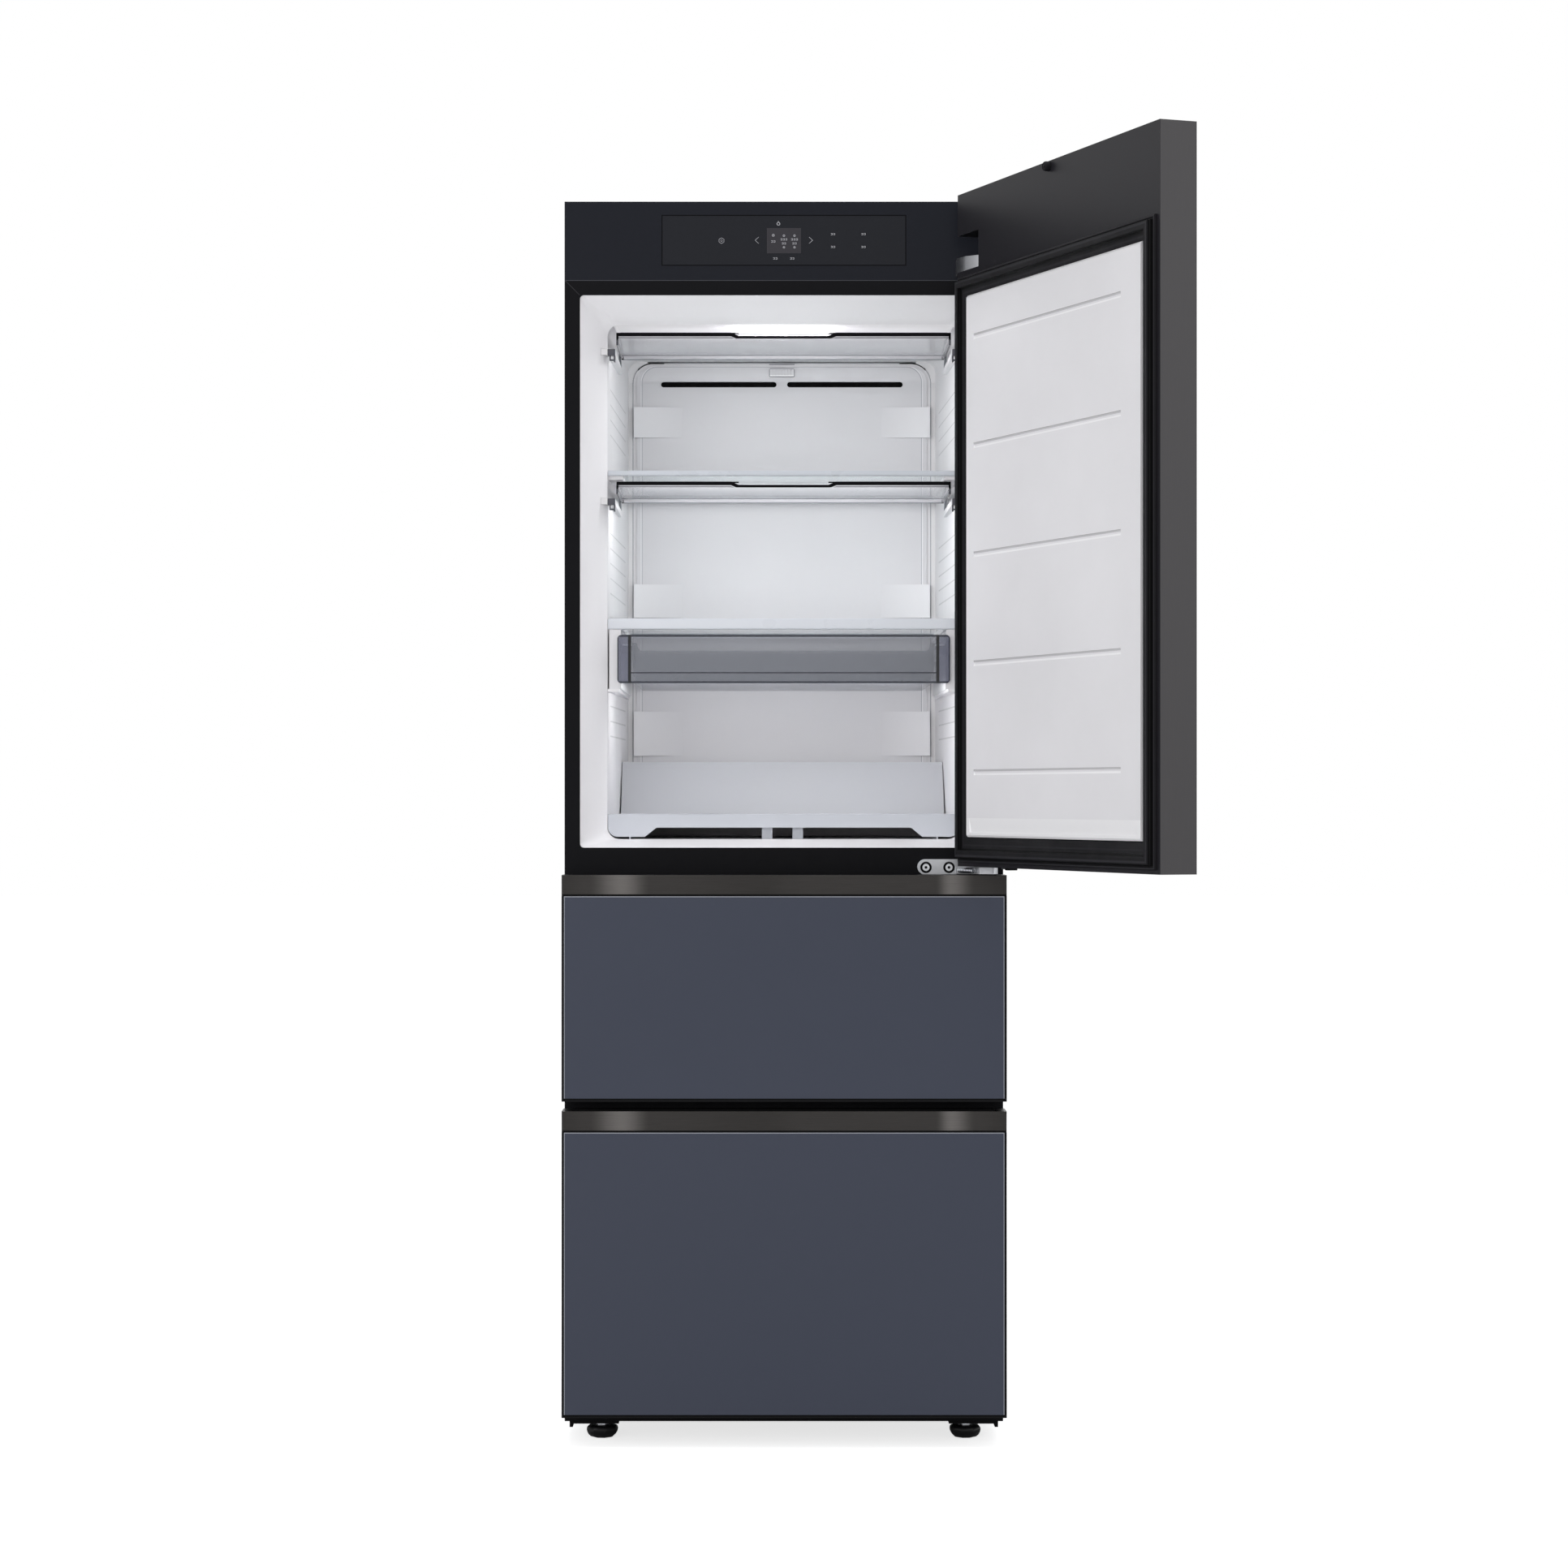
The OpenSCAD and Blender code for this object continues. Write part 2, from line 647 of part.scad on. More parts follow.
module evaporator_fan() color("dimgray") {
    translate([0, front_y + fan_d[0] + 1, fan_z]) rotate([-90, 0, 0])
        fan_wheel(evaporator_fan_r, 20, fan_d[1] - fan_d[0] - 2, 7);
    rod_y([fan_d[1] - 4, fan_d[1] + 14], 0, fan_z, 3);
}

// Silver floor with a notched apron, and a sloping riser in front of the duct
module bottom_tray() color("silver") {
    slot_z = [chamber_z[0] + 3.2, chamber_z[0] + 17.1];
    top = tray_z;
    back_d = duct_d - 213;
    riser_d = duct_d - 156;
    riser_z = tray_z + 82.5;
    riser_x = chamber_x(riser_d) - 0.9;
    x = chamber_w / 2 - 0.6;
    front_plate([mouth_d, mouth_d + tray_t]) difference() {
        union() {
            round_area([-x, x], [slot_z[0], top], mouth_corner_r - 3);
            area([-x, x], [slot_z[0] + mouth_corner_r, top]);
        }
        polygon([[54.8 - x, slot_z[0] - 1], [73.4 - x, slot_z[1]], [x - 73.4, slot_z[1]],
            [x - 54.8, slot_z[0] - 1]]);
    }
    plan_plate([top - tray_t, top]) polygon([
        [-x, mouth_d + 1], [-chamber_x(back_d) + 0.6, back_d],
        [chamber_x(back_d) - 0.6, back_d], [x, mouth_d + 1]]);
    side_plate([-riser_x, riser_x]) polygon([
        [back_d - 2, top - tray_t], [back_d - 2, top], [riser_d, riser_z],
        [riser_d + 2, riser_z], [riser_d + 2, riser_z - tray_t], [riser_d + 1, riser_z - tray_t],
        [back_d + 1, top - tray_t]]);
    plan_plate([riser_z - tray_t, riser_z]) polygon([
        [-riser_x, riser_d + 1], [0.9 - chamber_x(duct_d), duct_d],
        [chamber_x(duct_d) - 0.9, duct_d], [riser_x, riser_d + 1]]);
    both_sides()
        block([x - 34.4, x - 32.4], [mouth_d + 1, back_d - 8], [chamber_z[0], top - 1]);
    for (px = [-33, 13.5])
        block([px, px + 16], [mouth_d + 16, mouth_d + 20], [chamber_z[0], top - 1]);
}

// ---- Shelves ----

module shelf_glass(z) {
    plan_plate([z, z + shelf_glass_t])
        area([-shelf_glass_x, shelf_glass_x], [mouth_d + 3, shelf_back_d - 3]);
}

// Front and back trims of a shelf, from height z up, gripping the glass
module shelf_trim(z, h, glass_z) {
    x = chamber_w / 2 - 0.6;
    difference() {
        union() {
            side_plate([-x, x]) union() {
                area([mouth_d + 2, mouth_d + 11], [z, z + h]);
                area([mouth_d, mouth_d + 9], [z + 1.2, z + h - 1.2]);
            }
            block([-shelf_glass_x, shelf_glass_x], [shelf_back_d - 8, shelf_back_d],
                [glass_z - 1.5, glass_z + shelf_glass_t + 1.5]);
        }
        block([-shelf_glass_x, shelf_glass_x], [mouth_d + 3, shelf_back_d - 3],
            [glass_z, glass_z + shelf_glass_t]);
    }
}

module shelf_1_glass() color([0.7, 0.85, 0.85, 0.5]) shelf_glass(glass_1_z);
module shelf_1_trim() color("silver") shelf_trim(shelf_1_z, trim_h, glass_1_z);
module shelf_2_glass() color([0.7, 0.85, 0.85, 0.5]) shelf_glass(glass_2_z);
module shelf_2_trim() color("silver") shelf_trim(shelf_2_z, deep_trim_h, glass_2_z);

// White guides on both walls, which carry shelf 2 and the meat drawer
module drawer_guides() color("white") {
    d = [mouth_d + 3, guide_end_d];
    both_sides() {
        plan_plate([guide_z[0], shelf_2_z - 0.6]) polygon([
            [guide_x, d[0]], [chamber_x(d[0]) - 2.2, d[0]],
            [chamber_x(d[1]) - 2.2, d[1]], [guide_x, d[1]]]);
        plan_plate([shelf_2_z - 0.7, guide_z[1]]) polygon([
            [guide_x - 2, d[0] + 12], [guide_x + 4, d[0] + 12],
            [guide_x + 4, d[1]], [guide_x - 2, d[1]]]);
        block([guide_x - 11, guide_x + 1], [d[0] + 2, d[1]],
            [meat_flange_z - 10, meat_flange_z - seat_gap]);
    }
}

// ---- Meat drawer ----

module basin_slice(z, x, d, r) {
    plan_plate([z, z + tiny]) round_area([-x, x], d, r, $fn = 32);
}

module meat_drawer() color([0.55, 0.58, 0.65, 0.5]) {
    x = meat_x;
    top = basin_x;
    d = [meat_front_d, meat_front_d + meat_d];
    t = 2.5;
    difference() {
        union() {
            front_plate([d[0], d[0] + 4]) round_area([-x, x], meat_z, 6);
            hull() {
                basin_slice(meat_z[0] + 0.5, top - 5, [d[0] + 8, d[1] - 8], 14);
                basin_slice(meat_z[1] - 12, top, [d[0] + 3, d[1]], 14);
            }
            both_sides()
                block([top - 2, guide_x - 2], [d[0] + 3, d[1] - 16],
                    [meat_flange_z, meat_flange_z + 3]);
        }
        hull() {
            basin_slice(meat_z[0] + t, top - 5 - t, [d[0] + 10, d[1] - 8 - t], 12);
            basin_slice(meat_z[1] - 11, top - t, [d[0] + 6, d[1] - t], 12);
        }
        // Lowered middle of the front, seen as a line across it
        block([-top + 6, top - 6], [d[0] - 1, d[0] + 1], [meat_z[0] + 16, meat_z[1] - 8]);
    }
}

// ---- Cold-air guards: up-and-over flaps, shown pushed in ----

// Guard in its own coordinates: x across, y back from the pivot, z up
module guard_flap(l) {
    x = guard_x;
    w = guard_rise;
    t = 2;
    dip_x = 68;
    dip = 5;
    side = 3;
    // Sheet between the pivot tube and the front rim, with a scoop in the middle
    rotate([90, 0, 90]) translate([0, 0, -x]) linear_extrude(x - dip_x)
        polygon([[0, 2], [-l + 2, w - t], [-l + 2, w], [0, 4]]);
    rotate([90, 0, 90]) translate([0, 0, dip_x]) linear_extrude(x - dip_x)
        polygon([[0, 2], [-l + 2, w - t], [-l + 2, w], [0, 4]]);
    rotate([90, 0, 90]) translate([0, 0, -dip_x - tiny]) linear_extrude(2 * dip_x + 2 * tiny)
        polygon([[0, 2], [-l + 30, w - t - 1], [-l + 2, w - dip - t], [-l + 2, w - dip],
            [-l + 30, w - 1], [0, 4]]);
    // Front rim, dipping over the grip
    translate([0, -l + 3, 0]) rotate([90, 0, 0]) linear_extrude(3)
        difference() {
            union() {
                round_area([-x, x], [-guard_skirt, w], 7);
                area([-x, x], [-guard_skirt, w - 8]);
            }
            area([-x + side, x - side], [-guard_skirt - 1, w - 9]);
            polygon([[-dip_x - 12, w + 1], [-dip_x - 12, w], [-dip_x, w - dip],
                [dip_x, w - dip], [dip_x + 12, w], [dip_x + 12, w + 1]]);
        }
    // Skirts along both sides, and the pivot tube with its end pins
    both_sides()
        rotate([90, 0, 90]) translate([0, 0, x - side]) linear_extrude(side)
            polygon([[3, -2], [3, 4], [0, 4], [-l + 1, w - 1], [-l + 1, -guard_skirt],
                [-60, -guard_skirt], [-20, -4]]);
    translate([-x, 0, 0]) rotate([0, 90, 0]) cylinder(h = 2 * x, r = 4);
    translate([-runner_x[1], 0, 0]) rotate([0, 90, 0])
        cylinder(h = 2 * runner_x[1], r = guard_pin_r);
}

guard_skirt = 7;

module at_guard(z) {
    translate([0, front_y + guard_back_d, z]) children();
}

// Runners that carry a guard's pivot along the tracks on both walls
module guard_runners(z) {
    d = guard_back_d;
    foot = z - runner_drop;
    both_sides() difference() {
        union() {
            rod_x(runner_x, d, z, 5.5);
            side_plate(runner_x) polygon([
                [d - 5, z], [d + 5.5, z], [d + 20, foot + 4], [d + 20, foot],
                [d - 2, foot], [d - 2, foot + 4]]);
        }
        rod_x([runner_x[0] - 1, runner_x[1] + 1], d, z, guard_pin_r + pin_gap);
    }
}

module guard_1() color([0.8, 0.86, 0.9, 0.5]) at_guard(guard_1_z) guard_flap(guard_1_l);
module guard_1_runners() color("gray") guard_runners(guard_1_z);
module guard_2() color([0.8, 0.86, 0.9, 0.5]) at_guard(guard_2_z) guard_flap(guard_2_l);
module guard_2_runners() color("gray") guard_runners(guard_2_z);

// ---- Drawer compartments ----

// Outline of the lower compartment, grown by t, from depth d0
module low_bay_outline(t, d0) {
    polygon([[d0, lower_bay_z[0] - t], [low_bay_d + t, lower_bay_z[0] - t],
        [low_bay_d + t, low_step_z - t], [bay_d + t, low_step_z - t],
        [bay_d + t, lower_bay_z[1] + t], [d0, lower_bay_z[1] + t]]);
}

module upper_bay(t, d0) {
    block([-bay_x - t, bay_x + t], [d0, bay_d + t],
        [upper_bay_z[0] - t, upper_bay_z[1] + t]);
}

module lower_bay(t, d0) {
    side_plate([-bay_x - t, bay_x + t]) low_bay_outline(t, d0);
}

module bay_flange(z) {
    f = flange_w;
    block([-bay_x - f, bay_x + f], [frame_t, frame_t + liner_t], [z[0] - f, z[1] + f]);
}

module drawer_liners() color("white") {
    difference() {
        union() {
            upper_bay(liner_t, frame_t);
            bay_flange(upper_bay_z);
        }
        upper_bay(0, frame_t - 1);
    }
    difference() {
        union() {
            lower_bay(liner_t, frame_t);
            bay_flange(lower_bay_z);
        }
        lower_bay(0, frame_t - 1);
    }
}

// Fixed members of the slide rails
module cabinet_rails() color("silver") {
    for (z = [upper_rail_z, lower_rail_z])
        both_sides() rail_channel(bay_x, rail_d, z, rail_h / 2, rail_t);
}

// Channel of a slide rail, open towards the middle, with its web at x
module rail_channel(x, d, z, half, t) {
    difference() {
        block([x - rail_reach, x], d, [z - half, z + half]);
        block([x - rail_reach - 1, x - t], [d[0] - 1, d[1] + 1],
            [z - half + t, z + half - t]);
    }
}

mid_half = rail_h / 2 - rail_t - rail_gap;
mid_x = bay_x - rail_t - rail_gap;
arm_half = mid_half - rail_t - rail_gap;
arm_x = mid_x - rail_t - rail_gap;
arm_shelf_z = arm_half - 4;

module mid_rails(z) {
    both_sides()
        rail_channel(mid_x, [rail_d[0] + 4, rail_d[1] - 4], z, mid_half, rail_t);
}

// Runner arms fixed to a drawer front, each with a shelf that the bin rests on
module drawer_arms(z) {
    both_sides() {
        rail_channel(arm_x, [inner_d - tiny, rail_d[1] - 8], z, arm_half, rail_t);
        block([bin_x, arm_x - rail_reach + 1], [bin_d[0], rail_d[1] - 8],
            [z - arm_half, z - arm_half + rail_t]);
    }
}

bin_d = [8, bay_d - 32];
bin_lip = 3;

// Lip along a bin's sides that rests on the runner arms
module bin_lips(z) {
    both_sides()
        block([bin_x - 1, arm_x - rail_reach - 1], [bin_d[0] + 12, rail_d[1] - 10],
            [z - arm_half + rail_t, z - arm_half + rail_t + bin_lip]);
}

// ---- Drawer fronts ----

module drawer_glass(z) {
    x = front_half - edge_w - 1.2;
    block([-x, x], [front_d, glass_back_d],
        [z[0] + edge_w + 2.3, z[1] - grip_h - grip_groove]);
}

// Grip strip: a plate with a rolled top edge over the finger trough
module drawer_grip(z) {
    x = front_half - 1.3;
    block([-x, x], [front_d + 0.6, glass_back_d + 1], [z[1] - grip_h, z[1]]);
    side_plate([-x + 14, x - 14]) union() {
        area([glass_back_d + 1 - tiny, glass_back_d + 4], [z[1] - 2.4, z[1]]);
        translate([glass_back_d + 4, z[1] - 2.4]) circle(2.4);
    }
}

// Front body with its edge lips, finger trough and runner arms
module drawer_shell(z, rail_z) {
    d0 = glass_back_d + 1;
    lip_z = z[0] + edge_w;
    difference() {
        block([-front_half, front_half], [d0, inner_d], z);
        block([-front_half + 14, front_half - 14], [d0 - 1, d0 + trough_w],
            [z[1] - trough_h, z[1] + 1]);
    }
    both_sides() {
        block([front_half - edge_w, front_half], [front_d + 0.8, d0 + tiny],
            [z[0], z[1] - grip_h - grip_groove]);
    }
    block([-front_half, front_half], [front_d + 0.8, d0 + tiny], [z[0], lip_z]);
    block([-front_half + edge_w + 1.2, front_half - edge_w - 1.2],
        [glass_back_d, d0 + tiny],
        [lip_z + 2.3, z[1] - grip_h - grip_groove]);
    drawer_arms(rail_z);
}

// Gasket ring round a drawer's opening, from the front to the cabinet frame
module drawer_gasket(z) {
    low = z[0] + 6;
    high = z[1] - 3.5;
    x = bay_open_x + 19;
    w = 12;
    front_plate([inner_d, inner_d + 5]) difference() {
        round_area([-x, x], [low, high], 5);
        area([-x + w + 4, x - w - 4], [low + w, high - w]);
    }
    front_plate([inner_d + 5 - tiny, -0.6]) difference() {
        round_area([-x + 4, x - 4], [low + 2, high - 2], 4);
        area([-x + w, x - w], [low + w - 2, high - w + 2]);
    }
}

module upper_drawer_panel() color([0.27, 0.29, 0.34]) drawer_glass(upper_z);
module upper_drawer_grip() color([0.24, 0.22, 0.21]) drawer_grip(upper_z);
module upper_drawer_shell() color([0.2, 0.2, 0.21]) drawer_shell(upper_z, upper_rail_z);
module upper_drawer_gasket() color([0.1, 0.1, 0.1]) drawer_gasket(upper_z);
module upper_drawer_rails() color("silver") mid_rails(upper_rail_z);

upper_bin_z = [upper_bay_z[0] + 10, upper_bay_z[1] - 28];

module upper_drawer_bin() color("lightgray") {
    difference() {
        plan_plate(upper_bin_z) round_area([-bin_x, bin_x], bin_d, 20);
        plan_plate([upper_bin_z[0] + bin_t, upper_bin_z[1] + 1])
            round_area([-bin_x + bin_t, bin_x - bin_t],
                [bin_d[0] + bin_t, bin_d[1] - bin_t], 20 - bin_t);
    }
    bin_lips(upper_rail_z);
}

module lower_drawer_panel() color([0.27, 0.29, 0.34]) drawer_glass(lower_z);
module lower_drawer_grip() color([0.24, 0.22, 0.21]) drawer_grip(lower_z);
module lower_drawer_shell() color([0.2, 0.2, 0.21]) drawer_shell(lower_z, lower_rail_z);
module lower_drawer_gasket() color([0.1, 0.1, 0.1]) drawer_gasket(lower_z);
module lower_drawer_rails() color("silver") mid_rails(lower_rail_z);

lower_bin_z = [lower_bay_z[0] + 9, lower_bay_z[1] - 28];
bin_step_d = low_bay_d - 25;
bin_step_z = low_step_z + 9;

// Side outline of the stepped lower bin, shrunk by t and open above
module step_bin_outline(t, top) {
    polygon([[bin_d[0] + t, lower_bin_z[0] + t], [bin_step_d - t, lower_bin_z[0] + t],
        [bin_step_d - t, bin_step_z + t], [bin_d[1] - t, bin_step_z + t],
        [bin_d[1] - t, top], [bin_d[0] + t, top]]);
}

module lower_drawer_bin() color("lightgray") {
    difference() {
        side_plate([-bin_x, bin_x]) step_bin_outline(0, lower_bin_z[1]);
        side_plate([-bin_x + bin_t, bin_x - bin_t])
            step_bin_outline(bin_t, lower_bin_z[1] + 1);
    }
    bin_lips(lower_rail_z);
}

// ---- Door, modelled shut and turned open about its hinge pins ----

module open_door() {
    translate([hinge_x, front_y + hinge_d, 0]) rotate([0, 0, door_open])
        translate([-hinge_x, -front_y - hinge_d, 0]) children();
}

module hinge_pocket(grow) {
    block([pocket_x - grow, front_half + 1], [glass_back_d - tiny, inner_d + 1],
        [pocket_z[0] - grow, pocket_z[1] + grow]);
}

hinge_block_h = 18;

// Blocks round the pin bores: above and below the pocket, and at the door's foot
module hinge_blocks(grow) {
    x = [hinge_x - 16 - grow, front_half - shell_t + tiny];
    d = [glass_back_d, hinge_d + 22 + grow];
    for (z = [[pocket_z[0] - hinge_block_h, pocket_z[0]],
              [pocket_z[1], pocket_z[1] + hinge_block_h],
              [door_z[0] + shell_t - tiny, door_z[0] + 26]])
        block(x, d, [z[0] - grow, z[1] + grow]);
}

module door_panel() color([0.27, 0.29, 0.34]) open_door() {
    x = front_half - edge_w;
    block([-x, x], [front_d, glass_back_d], [door_z[0] + edge_w, door_z[1] - edge_w]);
}

module door_shell() color([0.25, 0.25, 0.26]) open_door() {
    t = shell_t;
    difference() {
        union() {
            difference() {
                block([-front_half, front_half], [front_d + 0.8, inner_d], door_z);
                block([-front_half + t, front_half - t], [front_d - 1, inner_d - t],
                    [door_z[0] + t, door_z[1] - t]);
            }
            // Walls of the hinge pocket
            difference() {
                block([pocket_x - t, front_half - tiny], [glass_back_d, inner_d - tiny],
                    [pocket_z[0] - t, pocket_z[1] + t]);
                hinge_pocket(0);
            }
            hinge_blocks(0);
        }
        hinge_pocket(0);
        rod_z([door_z[0] - 1, door_z[0] + 24], hinge_x, hinge_d, hinge_pin_r + pin_gap);
        rod_z([pocket_z[0] - 16, pocket_z[1] + 16], hinge_x, hinge_d,
            hinge_pin_r + pin_gap);
        // Window that the inner panel closes
        block([-panel_x + 8, panel_x - 8], [inner_d - t - 1, inner_d + 1],
            [panel_z[0] + 8, panel_z[1] - 8]);
    }
}

module door_foam() color("khaki") open_door() {
    t = shell_t;
    difference() {
        block([-front_half + t, front_half - t], [glass_back_d, inner_d - t],
            [door_z[0] + t, door_z[1] - t]);
        hinge_pocket(t);
        hinge_blocks(0);
    }
}

// White inner panel with five pressed grooves and a sloping foot
module door_liner() color("white") open_door() {
    rise_d = inner_d + inner_panel_rise;
    groove_x = [59 - panel_x, panel_x - 26];
    rows = 5;
    first = panel_z[0] + 95;
    pitch = (panel_z[1] - panel_z[0] - 157.8) / 4;
    difference() {
        union() {
            side_plate([-panel_x, panel_x]) polygon([
                [inner_d, panel_z[0]], [rise_d - 2, panel_z[0]],
                [rise_d, panel_z[0] + 3], [rise_d, panel_z[1] - 3],
                [rise_d - 2, panel_z[1]], [inner_d, panel_z[1]]]);
            block([-panel_x + 8, panel_x - 8], [inner_d - shell_t, inner_d + tiny],
                [panel_z[0] + 8, panel_z[1] - 8]);
        }
        front_plate([rise_d - 2, rise_d + 1])
            for (i = [0 : rows - 1])
                round_area(groove_x, [first + i * pitch - 4, first + i * pitch + 4], 2);
        side_plate([-panel_x + 10, panel_x - 10]) polygon([
            [rise_d - 3, panel_z[0] + 7], [rise_d + 1, panel_z[0] + 7],
            [rise_d + 1, panel_z[0] + 30], [rise_d, panel_z[0] + 30]]);
    }
}

// Ring between two front-view boxes
module door_ring(d, x, z, w) {
    front_plate(d) difference() {
        round_area([-x, x], z, 5);
        area([-x + w, x - w], [z[0] + w, z[1] - w]);
    }
}

// Magnetic gasket and the rubber buffer at the top of the door
module door_gasket() color([0.1, 0.1, 0.1]) open_door() {
    x = front_half - 8;
    base_z = [door_z[0] + 6, panel_z[1] + 31];
    base_d = inner_d + 5;
    front_plate([inner_d, base_d]) difference() {
        round_area([-x, x], base_z, 5);
        area([-panel_x - 0.4, panel_x + 0.4], [panel_z[0] - 0.4, panel_z[1] + 0.4]);
    }
    door_ring([base_d - tiny, -0.6], x - 11, [base_z[0] + 6, base_z[1] - 6], 6);
    door_ring([base_d - tiny, base_d + 3], x - 4, [base_z[0] + 1.5, base_z[1] - 1.5], 2);
    rod_y([inner_d, inner_d + 9], 12, door_z[1] - 8, 7);
}

// ---- Hinges on the cabinet ----

plate_x = front_half - 130;

module door_hinges() color("silver") {
    // Upper hinge: a base on the front and a cast arm into the door's pocket
    difference() {
        union() {
            block([pocket_x + 3, pocket_x + 52], [-6, 0], upper_arm_z);
            plan_plate(upper_arm_z) polygon([
                [pocket_x + 3, 0], [pocket_x + 3, -28], [pocket_x + 15, -50],
                [pocket_x + 33, hinge_d - 3.9], [hinge_x, hinge_d - 4.5],
                [hinge_x + 2.5, hinge_d + 2], [hinge_x - 11.4, hinge_d + 19.7],
                [pocket_x + 22, -3], [pocket_x + 22, 0]]);
            rod_z(upper_arm_z, hinge_x, hinge_d, 4.5);
            rod_z([pocket_z[0] - 14, pocket_z[1] + 14], hinge_x, hinge_d, hinge_pin_r);
        }
        rod_y([-7, -3], pocket_x + 40, pocket_z[0] + 14, 5.4);
    }
    // Middle hinge: a plate on the partition and a flat arm under the door
    plate_z = [upper_z[1] - 0.6, upper_z[1] + 22.5];
    arm_z = [upper_z[1] + 1.3, door_z[0] - 1.7];
    mid_z = (plate_z[0] + plate_z[1]) / 2;
    r = (plate_z[1] - plate_z[0]) / 2;
    difference() {
        front_plate([-4, 0]) {
            area([plate_x + r, plate_x + 100], plate_z);
            translate([plate_x + r, mid_z]) circle(r);
        }
        for (x = [13, 47.5]) rod_y([-5, -2.6], plate_x + x, mid_z, 7.8);
    }
    plan_plate(arm_z) union() {
        polygon([[plate_x + 58, -1], [plate_x + 58, -30], [hinge_x - 18.9, hinge_d - 5],
            [hinge_x, hinge_d - 8], [hinge_x + 8, hinge_d], [hinge_x + 8, -20],
            [plate_x + 100, -1]]);
        translate([hinge_x, hinge_d]) circle(8);
    }
    rod_z([arm_z[1] - tiny, door_z[0] - seat_gap], hinge_x, hinge_d, 7);
    rod_z([arm_z[1] - tiny, door_z[0] + 22], hinge_x, hinge_d, hinge_pin_r);
}

// Screws of the hinges and of the machine cover
module cabinet_screws() color("lightgray") {
    mid_z = upper_z[1] + 10.95;
    for (x = [plate_x + 13, plate_x + 47.5]) difference() {
        rod_y([-4.4, -2.6], x, mid_z, 6.4);
        block([x - 3.4, x + 3.4], [-5, -3.4], [mid_z - 0.7, mid_z + 0.7]);
        block([x - 0.7, x + 0.7], [-5, -3.4], [mid_z - 3.4, mid_z + 3.4]);
    }
    rod_y([-5.6, -3], pocket_x + 40, pocket_z[0] + 14, 4.6);
    for (x = [-1, -1/3, 1/3, 1], z = [base_z + 14, room_h - 12])
        rod_y([case_back_d + sheet_t, case_back_d + sheet_t + 1.8], x * seam_x, z, 4.5);
}

// ---- Insulation ----

module insulation_foam() color("khaki") {
    x = inside_x;
    back = case_back_d - sheet_t;
    d0 = frame_t + liner_t;
    difference() {
        union() {
            block([-x, x], [d0, room_d], [base_z + base_t, fascia_z]);
            block([-x, x], [room_d - 20, back], [room_h, fascia_z]);
            block([-x, x], [36, back], [fascia_z - 20, total_h - sheet_t]);
        }
        upper_liner_body();
        upper_bay(liner_t, 0);
        lower_bay(liner_t, 0);
        foam_recesses();
    }
}

box_w = 158;
box_h = 176;
box_x = [45 - half_w, 45 - half_w + box_w];
box_z = [room_h + 332, room_h + 332 + box_h];
box_d = case_back_d - 66;

// Recesses for the control box, the pipes in the insulation and the feet's spindles
module foam_recesses() {
    block([box_x[0] - 3, box_x[1] + 3], [box_d - 3, case_back_d],
        [box_z[0] - 3, box_z[1] + 3]);
    block([pipe_x - 9, pipe_x + 9], [chamber_d, case_back_d],
        [room_h - 1, pipe_top + 9]);
    block([drain_at[0] - 14, drain_at[0] + 14], [drain_at[1] - 14, case_back_d],
        [room_h - 1, chamber_z[0] - liner_t + tiny]);
    for (z = [upper_bay_z, lower_bay_z]) loop_grooves(z);
    both_sides() rod_z([base_z, base_z + 22], foot_x, foot_d, spindle_r + 1);
}

module control_box() color("lightgray") {
    t = 2;
    difference() {
        block(box_x, [box_d, case_back_d], box_z);
        block([box_x[0] + t, box_x[1] - t], [box_d + t, case_back_d + 1],
            [box_z[0] + t, box_z[1] - t]);
    }
}

// ---- Machine room ----

comp_x = half_w - 164;
comp_d = room_d + room_deep / 2 - 4;
foot_plate_z = base_z + base_t + 18;
comp_h = 178;

module compressor() color([0.1, 0.1, 0.1]) {
    r = compressor_r;
    z = foot_plate_z;
    translate([comp_x, front_y + comp_d, z + 3]) rotate_extrude() difference() {
        union() {
            area([0, r], [28, comp_h - 34]);
            area([0, r - 28], [0, comp_h - 40]);
            area([0, r - 34], [comp_h - 41, comp_h]);
            translate([r - 28, 28]) circle(28);
            translate([r - 34, comp_h - 34]) circle(34);
        }
        area([-2 * r, 0], [-r, 2 * comp_h]);
    }
    // Welded flange, foot plate and terminal cover
    rod_z([z + 88, z + 92], comp_x, comp_d, r + 3);
    difference() {
        plan_plate([z, z + 6])
            round_area([comp_x - 96, comp_x + 96], [comp_d - 62, comp_d + 62], 14);
        compressor_bolts(8, [z - 1, z + 7]);
    }
    block([comp_x - r - 22, comp_x - r + 14], [comp_d - 30, comp_d + 30], [z + 52, z + 112]);
}

module compressor_bolts(r, z) {
    for (x = [-82, 82], d = [-48, 48])
        rod_z(z, comp_x + x, comp_d + d, r);
}

// Rubber bushes that the compressor stands on
module compressor_mounts() color([0.15, 0.15, 0.15]) {
    compressor_bolts(13, [base_z + base_t, foot_plate_z]);
    compressor_bolts(7.9, [foot_plate_z - tiny, foot_plate_z + 10]);
    compressor_bolts(11, [foot_plate_z + 6, foot_plate_z + 9]);
}

cond_w = 104;
cond_x = [29 - half_w, 29 - half_w + cond_w];
cond_d = [room_d + 24, case_d - 28];
cond_z = [base_z + base_t + 34, base_z + base_t + 200];

